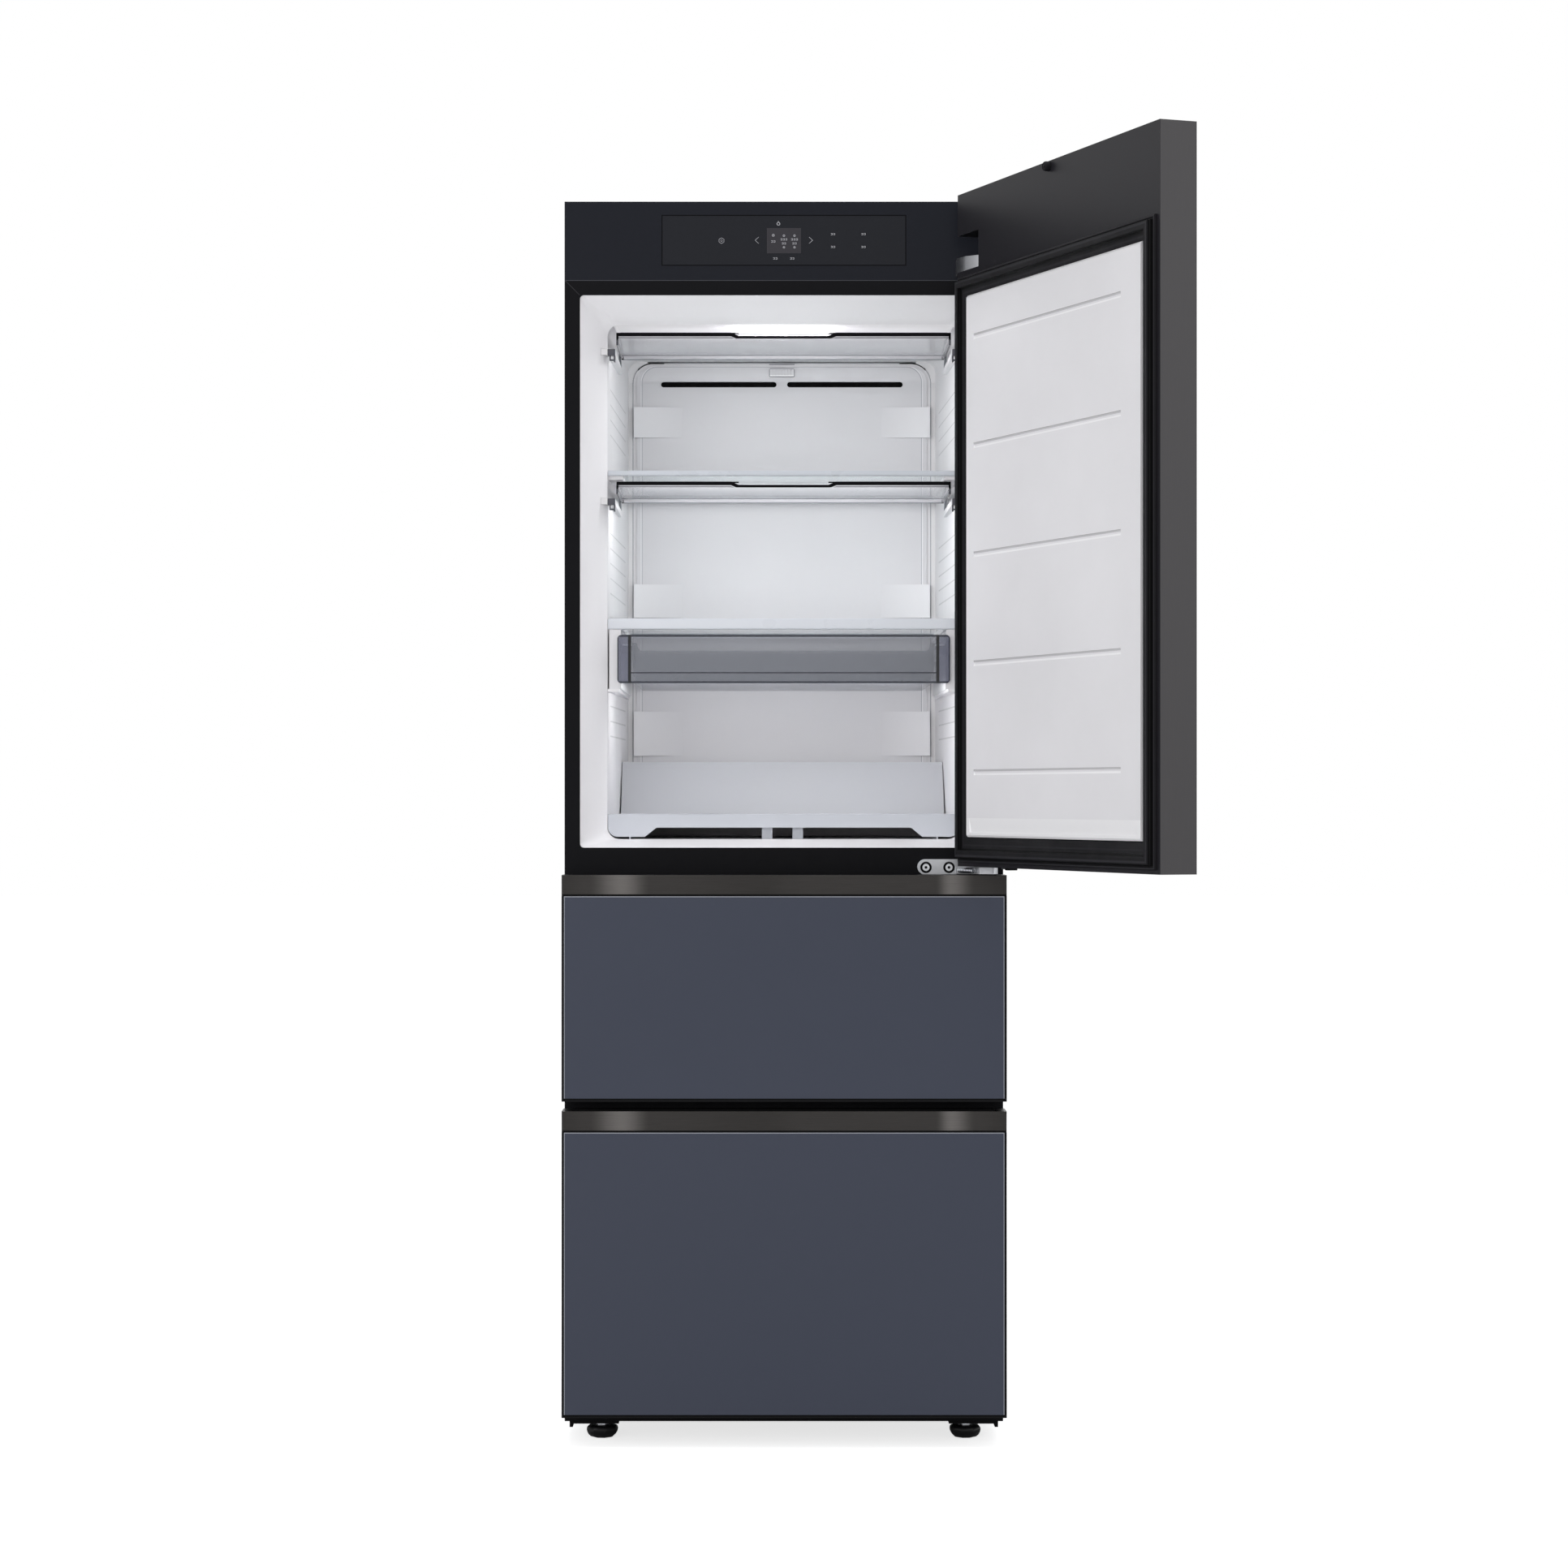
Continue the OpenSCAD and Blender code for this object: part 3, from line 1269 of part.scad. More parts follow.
module condenser() color("gray") {
    tube_r = 4;
    fins = 11;
    cols = [cond_x[0] + 20, cond_x[1] - 20];
    pitch = 34;
    rows = [0 : 4];
    span = cond_d[1] - cond_d[0] - 24;
    for (i = [0 : fins])
        block(cond_x, [cond_d[0] + 12 + i * span / fins - 0.5,
            cond_d[0] + 12 + i * span / fins + 0.5], cond_z);
    for (x = cols, i = rows)
        rod_y([cond_d[0] + 2, cond_d[1] - 2], x, cond_z[0] + 15 + i * pitch, tube_r);
    for (x = cols, i = [0 : 3]) {
        z = cond_z[0] + 15 + (i + 0.5) * pitch;
        end = i % 2 == 0 ? cond_d[1] - 4 : cond_d[0] + 4;
        translate([x, front_y + end, z]) rotate([0, 90, 0])
            rotate([0, 0, i % 2 == 0 ? 0 : 180]) bend(pitch / 2, tube_r + 0.4);
    }
    // End plates that stand on the base plate
    for (d = [cond_d[0] + 6, cond_d[1] - 8])
        block(cond_x, [d, d + 2], [base_z + base_t, cond_z[1]]);
}

fan_x = [cond_x[1] + 20, cond_x[1] + 48];

module condenser_fan_housing() color([0.2, 0.2, 0.2]) {
    r = condenser_fan_r + 5;
    z = [base_z + base_t, fan_room_z + r + 16];
    difference() {
        union() {
            block([fan_x[0] - 4, fan_x[0]], [fan_room_d - r - 12, fan_room_d + r + 12], z);
            rod_x([fan_x[0] - 1, fan_x[1] - 2], fan_room_d, fan_room_z, r + 3);
        }
        rod_x([fan_x[0] - 6, fan_x[1]], fan_room_d, fan_room_z, r);
    }
    // Motor on two struts across the ring
    difference() {
        union() {
            rod_x([fan_x[1] - 2, fan_x[1] + 26], fan_room_d, fan_room_z, 22);
            block([fan_x[1] - 2, fan_x[1] + 2], [fan_room_d - 7, fan_room_d + 7],
                [fan_room_z - r - 3, fan_room_z + r + 3]);
        }
        rod_x([fan_x[1] - 4, fan_x[1] + 14], fan_room_d, fan_room_z, 3 + pin_gap);
    }
}

module condenser_fan() color("darkgray") {
    translate([fan_x[0] + 2, front_y + fan_room_d, fan_room_z]) rotate([0, 90, 0])
        fan_wheel(condenser_fan_r, 20, fan_x[1] - fan_x[0] - 6, 5);
    rod_x([fan_x[1] - 8, fan_x[1] + 12], fan_room_d, fan_room_z, 3);
}

drain_at = [0, chamber_d - 30];
drain_r = 7;

// Pan between the fan and the compressor, and the drain tube down from the upper liner
module drain_pan() color("lightgray") {
    t = 2;
    x = [fan_x[1] + 86, comp_x - 109];
    d = [room_d + 20, drain_at[1] + 36];
    z = [base_z + base_t, base_z + base_t + 24];
    difference() {
        block(x, d, z);
        block([x[0] + t, x[1] - t], [d[0] + t, d[1] - t], [z[0] + t, z[1] + 1]);
    }
    difference() {
        union() {
            rod_z([room_h + 1, chamber_z[0] - liner_t], drain_at[0], drain_at[1], 9);
            rod_z([z[1] - 8, room_h + 2], drain_at[0], drain_at[1], drain_r);
        }
        rod_z([z[1] - 9, chamber_z[0]], drain_at[0], drain_at[1], drain_r - 1.5);
    }
}

pipe_x = duct_w / 2 - 21;
pipe_d = case_back_d - 24;
pipe_top = coil_z[0] + 20;
pipe_r = 3;
loop_x = bay_x + liner_t + pipe_r + 0.8;
loop_d = [60, bay_d + liner_t + pipe_r + 0.8];
function loop_levels(z) = [z[1] - 30, z[1] - 70, z[1] - 110];

// Tube along a list of straight runs, with balls at the corners
module tube_run(points, r) {
    last = len(points) - 2;
    for (i = [0 : last]) {
        run = points[i + 1] - points[i];
        tilt = acos(run[2] / norm(run));
        translate(points[i]) rotate([0, tilt, atan2(run[1], run[0])])
            cylinder(h = norm(run), r = r);
        if (i < last) translate(points[i + 1]) sphere(r + 0.4);
    }
}

// Suction and discharge lines, the filter drier and the drawers' cooling loops
module refrigerant_pipes() color([0.72, 0.45, 0.2]) {
    y = front_y;
    top = foot_plate_z + 3 + comp_h;
    coil = [duct_w / 2 - 34, duct_d + 58];
    drier_x = (cond_x[0] + cond_x[1]) / 2;
    low = cond_z[0] + 15;
    tube_run([[comp_x, y + comp_d, top], [comp_x, y + comp_d, top + 20],
        [pipe_x, y + comp_d, top + 20], [pipe_x, y + pipe_d, top + 20],
        [pipe_x, y + pipe_d, pipe_top], [pipe_x, y + coil[1], pipe_top],
        [coil[0], y + coil[1], pipe_top]], pipe_r);
    tube_run([[comp_x - 24, y + comp_d - 24, top], [comp_x - 24, y + comp_d - 24, top + 14],
        [comp_x - 24, y + room_d + 14, top + 14], [drier_x, y + room_d + 14, top + 14],
        [drier_x, y + room_d + 14, low], [cond_x[1] - 20, y + room_d + 14, low],
        [cond_x[1] - 20, y + cond_d[0] + 2, low]], pipe_r);
    rod_z([low + 50, low + 140], drier_x, room_d + 14, 9);
    for (z = [upper_bay_z, lower_bay_z]) cooling_loop(z);
}

// Cooling tube round three sides of a drawer compartment, at three levels
module cooling_loop(z) {
    x = loop_x;
    y = [front_y + loop_d[0], front_y + loop_d[1]];
    h = loop_levels(z);
    tube_run([[-x, y[0], h[0]], [-x, y[1], h[0]], [x, y[1], h[0]], [x, y[0], h[0]],
        [x, y[0], h[1]], [x, y[1], h[1]], [-x, y[1], h[1]], [-x, y[0], h[1]],
        [-x, y[0], h[2]], [-x, y[1], h[2]], [x, y[1], h[2]], [x, y[0], h[2]]], pipe_r);
}

// Grooves in the foam round one cooling loop
module loop_grooves(z) {
    h = loop_levels(z);
    r = pipe_r + 1;
    for (l = h) block([-loop_x - r, loop_x + r], [loop_d[0] - r, loop_d[1] + r], [l - r, l + r]);
    block([loop_x - 20, loop_x + r], [loop_d[0] - r, loop_d[0] + r], [h[1], h[0]]);
    block([-loop_x - r, 20 - loop_x], [loop_d[0] - r, loop_d[0] + r], [h[2], h[1]]);
}

module machine_cover() color("silver") {
    d = [case_back_d, case_back_d + sheet_t];
    z = [base_z, room_h];
    difference() {
        block([-half_w, half_w], d, z);
        for (start = [89 - half_w, half_w - 233], i = [0 : 7], row = [0 : 2])
            block([start + i * 22, start + i * 22 + 14], [d[0] - 1, d[1] + 1],
                [z[0] + 50 + row * 56, z[0] + 92 + row * 56]);
        front_plate([d[0] - 1, d[1] + 1]) translate([0, z[0] + 60]) circle(11);
    }
    // Lip that holds the cover to the room's ceiling
    block([-inside_x + 2, inside_x - 2], [d[0] - 10, d[0] + tiny],
        [z[1] - sheet_t - 1.6, z[1] - sheet_t - 0.1]);
}

// Gland that the mains lead would leave through
module power_inlet() color([0.1, 0.1, 0.1]) {
    d = case_back_d;
    z = base_z + 60;
    difference() {
        union() {
            rod_y([d - 6, d + sheet_t + 0.4], 0, z, 10.9);
            rod_y([d - 6, d], 0, z, 15);
            rod_y([d + sheet_t, d + back_emboss + sheet_t], 0, z, 14);
        }
        rod_y([d - 7, d + back_emboss + 5], 0, z, 5);
    }
}

// ---- Feet and rollers ----

module front_foot(x) {
    nut_z = 17.5;
    rod_z([nut_z, base_z + 18], x, foot_d, spindle_r);
    translate([x, front_y + foot_d, nut_z - tiny])
        cylinder(h = base_z - 5 - seat_gap - nut_z, r = 9.8, $fn = 6);
    translate([x, front_y + foot_d, 0]) cylinder(h = nut_z, r = foot_w / 2, $fn = 12);
}

module front_foot_left() color([0.12, 0.12, 0.12]) front_foot(-foot_x);
module front_foot_right() color([0.12, 0.12, 0.12]) front_foot(foot_x);

module rear_rollers() color([0.2, 0.2, 0.2]) {
    rod_x([-foot_x - 20, foot_x + 20], roller_d, axle_z, axle_r);
    both_sides() rod_x([foot_x - 11, foot_x + 11], roller_d, axle_z, roller_r);
}

outer_case();
back_panel();
base_plate();
front_frame();
control_fascia();
display_window();
circuit_boards();
upper_liner();
drawer_liners();
insulation_foam();
duct_panel();
sensor_cover();
ceiling_lamp();
evaporator();
evaporator_fan_housing();
evaporator_fan();
bottom_tray();
shelf_1_glass();
shelf_1_trim();
shelf_2_glass();
shelf_2_trim();
drawer_guides();
meat_drawer();
guard_1();
guard_1_runners();
guard_2();
guard_2_runners();
cabinet_rails();
door_hinges();
cabinet_screws();
door_panel();
door_shell();
door_foam();
door_liner();
door_gasket();
upper_drawer_panel();
upper_drawer_grip();
upper_drawer_shell();
upper_drawer_gasket();
upper_drawer_bin();
upper_drawer_rails();
lower_drawer_panel();
lower_drawer_grip();
lower_drawer_shell();
lower_drawer_gasket();
lower_drawer_bin();
lower_drawer_rails();
compressor();
compressor_mounts();
condenser();
condenser_fan_housing();
condenser_fan();
drain_pan();
refrigerant_pipes();
control_box();
machine_cover();
power_inlet();
front_foot_left();
front_foot_right();
rear_rollers();
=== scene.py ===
import json
import math

import bmesh
import bpy
from mathutils import Matrix, Vector


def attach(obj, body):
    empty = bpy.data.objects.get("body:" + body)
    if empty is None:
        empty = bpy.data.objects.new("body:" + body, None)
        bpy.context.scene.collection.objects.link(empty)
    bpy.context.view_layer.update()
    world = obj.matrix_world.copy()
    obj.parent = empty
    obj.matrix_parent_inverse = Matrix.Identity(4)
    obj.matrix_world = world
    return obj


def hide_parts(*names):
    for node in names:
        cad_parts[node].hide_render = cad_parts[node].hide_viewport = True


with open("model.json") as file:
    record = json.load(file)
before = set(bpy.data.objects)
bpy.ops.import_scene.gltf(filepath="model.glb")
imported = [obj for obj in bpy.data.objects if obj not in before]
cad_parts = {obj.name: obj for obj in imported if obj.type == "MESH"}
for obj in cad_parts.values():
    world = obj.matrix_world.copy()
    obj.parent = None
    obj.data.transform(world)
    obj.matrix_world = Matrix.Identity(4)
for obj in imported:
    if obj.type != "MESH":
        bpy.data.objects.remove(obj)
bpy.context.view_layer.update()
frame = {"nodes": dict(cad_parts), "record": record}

MM = 0.001
FRONT = -334.5 * MM                       # y of the plane of the cabinet's front frame
HINGE_X = 308.9                           # the pins' place across the cabinet, in millimetres
HINGE = Vector((HINGE_X * MM, -0.3942, 0.0))          # the line of the door's pins
DOOR_OPEN = math.radians(110.7)           # how far the door stands open in the frame

# places on the part, in millimetres
HALF_WIDTH = 330                          # of the fronts
GUARD_PIVOTS = {"guard_1": 1660, "guard_2": 1434}     # height of each flap's pivot
DUCT_CORNER = (213, 1649)                 # centre of the duct panel's upper corners
HINGE_SCREWS = ((213.0, 861.35), (247.5, 861.35))     # of the middle hinge


# ---------------------------------------------------------------- finishes

def paint_value(colour):
    """A colour as seen on screen, as the shader wants it."""
    return tuple(c / 12.92 if c <= 0.04045 else ((c + 0.055) / 1.055) ** 2.4 for c in colour)


def deep(depth):
    """The y of a depth in millimetres behind the cabinet's front."""
    return FRONT + depth * MM


class Finish:
    """One material: a shader with the object's own coordinates ready beside it."""

    LEVELS = {"roughness": "Roughness", "metallic": "Metallic", "specular": "Specular IOR Level",
              "alpha": "Alpha", "glow": "Emission Strength"}

    def __init__(self, name, colour, roughness, metallic=0.0, specular=0.5):
        self.material = bpy.data.materials.new(name)
        self.material.use_nodes = True
        self.nodes = self.material.node_tree.nodes
        self.links = self.material.node_tree.links
        self.shader = self.nodes["Principled BSDF"]
        self.colour = (*paint_value(colour), 1.0)
        self.roughness = roughness
        self.set("Base Color", self.colour)
        self.set("Roughness", roughness)
        self.set("Metallic", metallic)
        self.set("Specular IOR Level", specular)
        self.place = self.nodes.new("ShaderNodeTexCoord").outputs["Object"]

    def set(self, socket, value):
        self.shader.inputs[socket].default_value = value

    def feed(self, socket, output):
        self.links.new(output, self.shader.inputs[socket])

    def hand_on(self, name, socket):
        """Gives a socket what one of the shader's own sockets has now."""
        old = self.shader.inputs[name]
        if old.links:
            self.links.new(old.links[0].from_socket, socket)
        else:
            socket.default_value = old.default_value

    # numbers and masks

    def maths(self, kind, *values):
        """A Math node; each value is a number or another node's output."""
        node = self.nodes.new("ShaderNodeMath")
        node.operation = kind
        for socket, value in zip(node.inputs, values):
            if isinstance(value, (int, float)):
                socket.default_value = value
            else:
                self.links.new(value, socket)
        return node.outputs[0]

    def axes(self, door=False):
        """X, Y and Z on the piece, in metres. On the door they are taken as when it is shut,
        from the hinge."""
        place = self.place
        if door:
            turn = self.nodes.new("ShaderNodeMapping")
            turn.vector_type = "TEXTURE"
            turn.inputs["Location"].default_value = HINGE
            turn.inputs["Rotation"].default_value = (0, 0, DOOR_OPEN)
            self.links.new(place, turn.inputs["Vector"])
            place = turn.outputs["Vector"]
        split = self.nodes.new("ShaderNodeSeparateXYZ")
        self.links.new(place, split.inputs[0])
        return split.outputs

    def size_of(self, value):
        """The value without its sign, so that one mask serves left and right."""
        return self.maths("ABSOLUTE", value)

    def distance(self, over, up):
        return self.maths("SQRT", self.maths("ADD", self.maths("MULTIPLY", over, over),
                                             self.maths("MULTIPLY", up, up)))

    def above(self, value, limit):
        """1 where the value is over that number of millimetres, else 0."""
        return self.maths("GREATER_THAN", value, limit * MM)

    def below(self, value, limit):
        return self.maths("LESS_THAN", value, limit * MM)

    def between(self, value, low, high):
        return self.maths("COMPARE", value, (low + high) / 2 * MM, (high - low) / 2 * MM)

    def behind(self, y, depth):
        """1 farther back than that many millimetres behind the cabinet's front, else 0."""
        return self.maths("GREATER_THAN", y, deep(depth))

    def before(self, y, depth):
        return self.maths("LESS_THAN", y, deep(depth))

    def within_depths(self, y, near, far):
        return self.maths("COMPARE", y, deep((near + far) / 2), (far - near) / 2 * MM)

    def where_all(self, mask, *others):
        for other in others:
            mask = self.maths("MULTIPLY", mask, other)
        return mask

    def where_any(self, mask, *others):
        for other in others:
            mask = self.maths("MAXIMUM", mask, other)
        return mask

    def spread(self, fac, low, high, start=0.3, end=0.7):
        """Low at the start and high at the end, even between them."""
        node = self.nodes.new("ShaderNodeMapRange")
        node.inputs["From Min"].default_value = start
        node.inputs["From Max"].default_value = end
        node.inputs["To Min"].default_value = low
        node.inputs["To Max"].default_value = high
        self.links.new(fac, node.inputs["Value"])
        return node.outputs["Result"]

    # patterns

    def noise(self, scale, detail, stretch=None, rough=0.55):
        node = self.nodes.new("ShaderNodeTexNoise")
        node.inputs["Scale"].default_value = scale
        node.inputs["Detail"].default_value = detail
        node.inputs["Roughness"].default_value = rough
        place = self.place
        if stretch:
            mapping = self.nodes.new("ShaderNodeMapping")
            mapping.inputs["Scale"].default_value = stretch
            self.links.new(place, mapping.inputs["Vector"])
            place = mapping.outputs["Vector"]
        self.links.new(place, node.inputs["Vector"])
        return node.outputs["Fac"]

    def ramp(self, fac, stops, blend="LINEAR"):
        """Colour along a row of (position, colour)."""
        node = self.nodes.new("ShaderNodeValToRGB")
        node.color_ramp.interpolation = blend
        points = node.color_ramp.elements
        while len(points) < len(stops):
            points.new(0.5)
        for point, (position, colour) in zip(points, stops):
            point.position = position
            point.color = (*colour, 1.0)
        self.links.new(fac, node.inputs["Fac"])
        return node.outputs["Color"]

    def shade(self, factor):
        """The finish's own colour, lighter or darker."""
        return [min(1, c * factor) for c in self.colour[:3]]

    # what the shader is given

    def tinted(self, fac, light, dark):
        """Colour that drifts a little lighter and darker."""
        self.feed("Base Color", self.ramp(fac, [(0.32, self.shade(dark)), (0.68, self.shade(light))]))

    def worn(self, fac, amount):
        """Roughness that drifts by an amount each way."""
        low, high = max(0.02, self.roughness - amount), self.roughness + amount
        self.feed("Roughness", self.spread(fac, low, high))

    def bumped(self, height, strength, depth=0.0002):
        node = self.nodes.new("ShaderNodeBump")
        node.inputs["Strength"].default_value = strength
        node.inputs["Distance"].default_value = depth
        self.links.new(height, node.inputs["Height"])
        if self.shader.inputs["Normal"].links:
            self.hand_on("Normal", node.inputs["Normal"])
        self.feed("Normal", node.outputs["Normal"])

    def painted(self, mask, colour=None, **levels):
        """Changes the colour, or other levels of the shader, where the mask is 1."""
        if colour is not None:
            mix = self.nodes.new("ShaderNodeMix")
            mix.data_type = "RGBA"
            self.links.new(mask, mix.inputs[0])
            self.hand_on("Base Color", mix.inputs[6])
            mix.inputs[7].default_value = (*paint_value(colour), 1.0)
            self.feed("Base Color", mix.outputs[2])
        for level, value in levels.items():
            mix = self.nodes.new("ShaderNodeMix")
            self.links.new(mask, mix.inputs[0])
            self.hand_on(self.LEVELS[level], mix.inputs[2])
            mix.inputs[3].default_value = value
            self.feed(self.LEVELS[level], mix.outputs[0])


def moulded_plastic(name, colour, roughness=0.42, specular=0.4):
    """Moulded plastic with a fine spark-eroded grain and a slow drift of tone."""
    f = Finish(name, colour, roughness, specular=specular)
    f.tinted(f.noise(3.0, 4), 1.03, 0.97)
    f.worn(f.noise(25, 4), 0.05)
    f.bumped(f.noise(900, 2), 0.12, 0.00012)
    return f


def powder_coat(name, colour, roughness=0.5, specular=0.35):
    """Baked paint on sheet steel, with the slight ripple of its spraying."""
    f = Finish(name, colour, roughness, specular=specular)
    f.tinted(f.noise(2.2, 3), 1.04, 0.96)
    f.worn(f.noise(60, 3), 0.05)
    f.bumped(f.noise(420, 2), 0.18, 0.0002)
    return f


def spangled_zinc(name, colour):
    """Hot-dipped sheet: crystals of zinc that each catch the light their own way."""
    f = Finish(name, colour, 0.42, metallic=0.85)
    crystals = f.nodes.new("ShaderNodeTexVoronoi")
    crystals.inputs["Scale"].default_value = 170
    f.links.new(f.place, crystals.inputs["Vector"])
    grey = f.nodes.new("ShaderNodeRGBToBW")
    f.links.new(crystals.outputs["Color"], grey.inputs["Color"])
    f.tinted(grey.outputs["Val"], 1.05, 0.94)
    f.feed("Roughness", f.spread(grey.outputs["Val"], 0.38, 0.47, 0.1, 0.9))
    f.bumped(f.noise(300, 2), 0.08)
    return f


def brushed_metal(name, colour, along, roughness=0.34):
    """Metal drawn along one direction, with its fine lines."""
    f = Finish(name, colour, roughness, metallic=1.0)
    lines = f.noise(28, 6, along, 0.7)
    f.tinted(lines, 1.08, 0.92)
    f.worn(lines, 0.07)
    f.bumped(lines, 0.06, 0.0001)
    return f


def soft_rubber(name, colour):
    """Extruded sealing rubber with a dusty bloom."""
    f = Finish(name, colour, 0.62, specular=0.12)
    f.tinted(f.noise(35, 5), 1.15, 0.88)
    f.worn(f.noise(12, 3), 0.08)
    f.bumped(f.noise(700, 2), 0.15, 0.00015)
    return f


def painted_glass(name, colour, roughness, specular):
    """Toughened glass painted behind: an even colour under a smooth face."""
    f = Finish(name, colour, roughness, specular=specular)
    f.tinted(f.noise(0.9, 2), 1.015, 0.985)
    f.worn(f.noise(5, 2), 0.03)
    f.bumped(f.noise(14, 2), 0.02, 0.0003)
    return f


def clear_moulding(name, colour, roughness, opacity, ior=1.49):
    """Clear plastic or float glass. It lets the light through and shows its edges."""
    f = Finish(name, colour, roughness)
    f.set("IOR", ior)
    f.set("Alpha", opacity)
    f.worn(f.noise(18, 3), min(0.03, roughness * 0.5))
    f.bumped(f.noise(9, 2), 0.03, 0.0003)
    return f


def foam_skin(name, colour):
    """Poured insulating foam, with the blisters of its skin."""
    f = Finish(name, colour, 0.85, specular=0.15)
    f.tinted(f.noise(14, 6), 1.05, 0.86)
    f.bumped(f.noise(60, 5), 0.6, 0.002)
    f.bumped(f.noise(900, 2), 0.3, 0.0004)
    return f


def lacquered_board(name, colour):
    """Printed board: lacquer over a maze of straight copper tracks."""
    f = Finish(name, colour, 0.35)
    tracks = f.nodes.new("ShaderNodeTexBrick")
    tracks.inputs["Scale"].default_value = 160
    tracks.inputs["Mortar Size"].default_value = 0.06
    tracks.inputs["Color1"].default_value = f.colour
    tracks.inputs["Color2"].default_value = (*f.shade(0.8), 1)
    tracks.inputs["Mortar"].default_value = (0.22, 0.42, 0.16, 1)
    f.links.new(f.place, tracks.inputs["Vector"])
    f.feed("Base Color", tracks.outputs["Color"])
    f.worn(f.noise(60, 3), 0.08)
    f.bumped(tracks.outputs["Fac"], 0.2, 0.0001)
    return f


def pot_enamel(name, colour):
    """Enamel on the compressor's pressed steel pot, with runs in the paint."""
    f = Finish(name, colour, 0.32)
    f.tinted(f.noise(8, 5), 1.3, 0.8)
    f.worn(f.noise(40, 4), 0.1)
    f.bumped(f.noise(90, 4), 0.2, 0.0005)
    return f


def drawn_copper(name, colour):
    """Soft copper tube, a little tarnished."""
    f = Finish(name, colour, 0.28, metallic=1.0)
    tarnish = f.noise(22, 6)
    f.tinted(tarnish, 1.1, 0.62)
    f.worn(tarnish, 0.1)
    f.bumped(f.noise(200, 2), 0.1, 0.0002)
    return f


def rolled_fins(name, colour):
    """Thin rolled sheet of the evaporator's fins, streaked up and down."""
    f = Finish(name, colour, 0.3, metallic=1.0)
    f.tinted(f.noise(30, 3, (1, 1, 12)), 1.05, 0.9)
    f.worn(f.noise(50, 3), 0.08)
    f.bumped(f.noise(500, 2), 0.1, 0.0001)
    return f


def lit_lens(name, colour):
    """The lamp's frosted lens with its row of diodes shining through."""
    f = Finish(name, colour, 0.5)
    f.worn(f.noise(60, 2), 0.05)
    diodes = f.noise(6, 1, (9, 1, 1))
    f.feed("Emission Color", f.ramp(diodes, [(0.3, (0.93, 0.97, 1.0)), (0.7, (1.0, 1.0, 0.98))]))
    f.set("Emission Strength", 1.0)
    return f


# ---------------------------------------------------------------- finishes by slot

# Slots whose nodes all have a finish of their own further down are not in this list.
SLOT_FINISHES = {
    "case_paint": powder_coat("sprayed case steel", (0.25, 0.255, 0.262)),
    "zinc_steel": spangled_zinc("spangled sheet steel", (0.62, 0.64, 0.66)),
    "frame_black": powder_coat("black frame paint", (0.062, 0.062, 0.072), 0.45, 0.08),
    "fascia_dark": painted_glass("dark control panel", (0.118, 0.124, 0.148), 0.3, 0.08),
    "display_smoke": painted_glass("smoked display window", (0.125, 0.13, 0.15), 0.12, 0.12),
    "circuit_green": lacquered_board("lacquered circuit board", (0.08, 0.30, 0.18)),
    "liner_white": moulded_plastic("white inner lining", (0.925, 0.92, 0.93), 0.38),
    "foam_cream": foam_skin("poured insulating foam", (0.86, 0.80, 0.58)),
    "duct_grey": moulded_plastic("pale fan housing", (0.84, 0.845, 0.86), 0.4),
    "lamp_white": lit_lens("lit lamp lens", (0.98, 0.98, 0.97)),
    "aluminium_fin": rolled_fins("rolled aluminium fins", (0.78, 0.79, 0.80)),
    "shelf_glass": clear_moulding("float glass shelf", (0.86, 0.93, 0.93), 0.06, 0.3, 1.5),
    "shelf_trim": moulded_plastic("silver shelf trim", (0.80, 0.815, 0.84), 0.3),
    "runner_grey": moulded_plastic("grey runner plastic", (0.42, 0.43, 0.45), 0.45),
    "rail_steel": brushed_metal("drawn rail steel", (0.72, 0.73, 0.74), (40, 1, 40)),
    "hinge_steel": brushed_metal("tumbled steel of the door's stop", (0.53, 0.535, 0.55), (6, 6, 6), 0.38),
    "door_glass": painted_glass("blue-grey door glass", (0.262, 0.277, 0.325), 0.2, 0.12),
    "gasket_black": soft_rubber("black drawer seal", (0.088, 0.087, 0.094)),
    "bin_grey": moulded_plastic("pale drawer bin", (0.80, 0.81, 0.82), 0.45),
    "compressor_black": pot_enamel("black compressor pot", (0.07, 0.07, 0.075)),
    "rubber_black": soft_rubber("mounting rubber", (0.09, 0.09, 0.095)),
    "condenser_black": powder_coat("black condenser", (0.12, 0.12, 0.125), 0.5),
    "fan_black": moulded_plastic("black fan plastic", (0.10, 0.10, 0.105), 0.5),
    "fan_grey": moulded_plastic("grey fan plastic", (0.55, 0.56, 0.58)),
    "pan_grey": moulded_plastic("grey drain pan", (0.68, 0.69, 0.70), 0.5),
    "copper": drawn_copper("drawn copper tube", (0.78, 0.50, 0.33)),
    "box_grey": moulded_plastic("grey electrics box", (0.64, 0.65, 0.66), 0.5),
    "foot_black": moulded_plastic("black foot plastic", (0.075, 0.075, 0.08), 0.4, 0.3),
    "roller_grey": moulded_plastic("grey roller nylon", (0.30, 0.30, 0.31), 0.45),
}


# ---------------------------------------------------------------- finishes by node

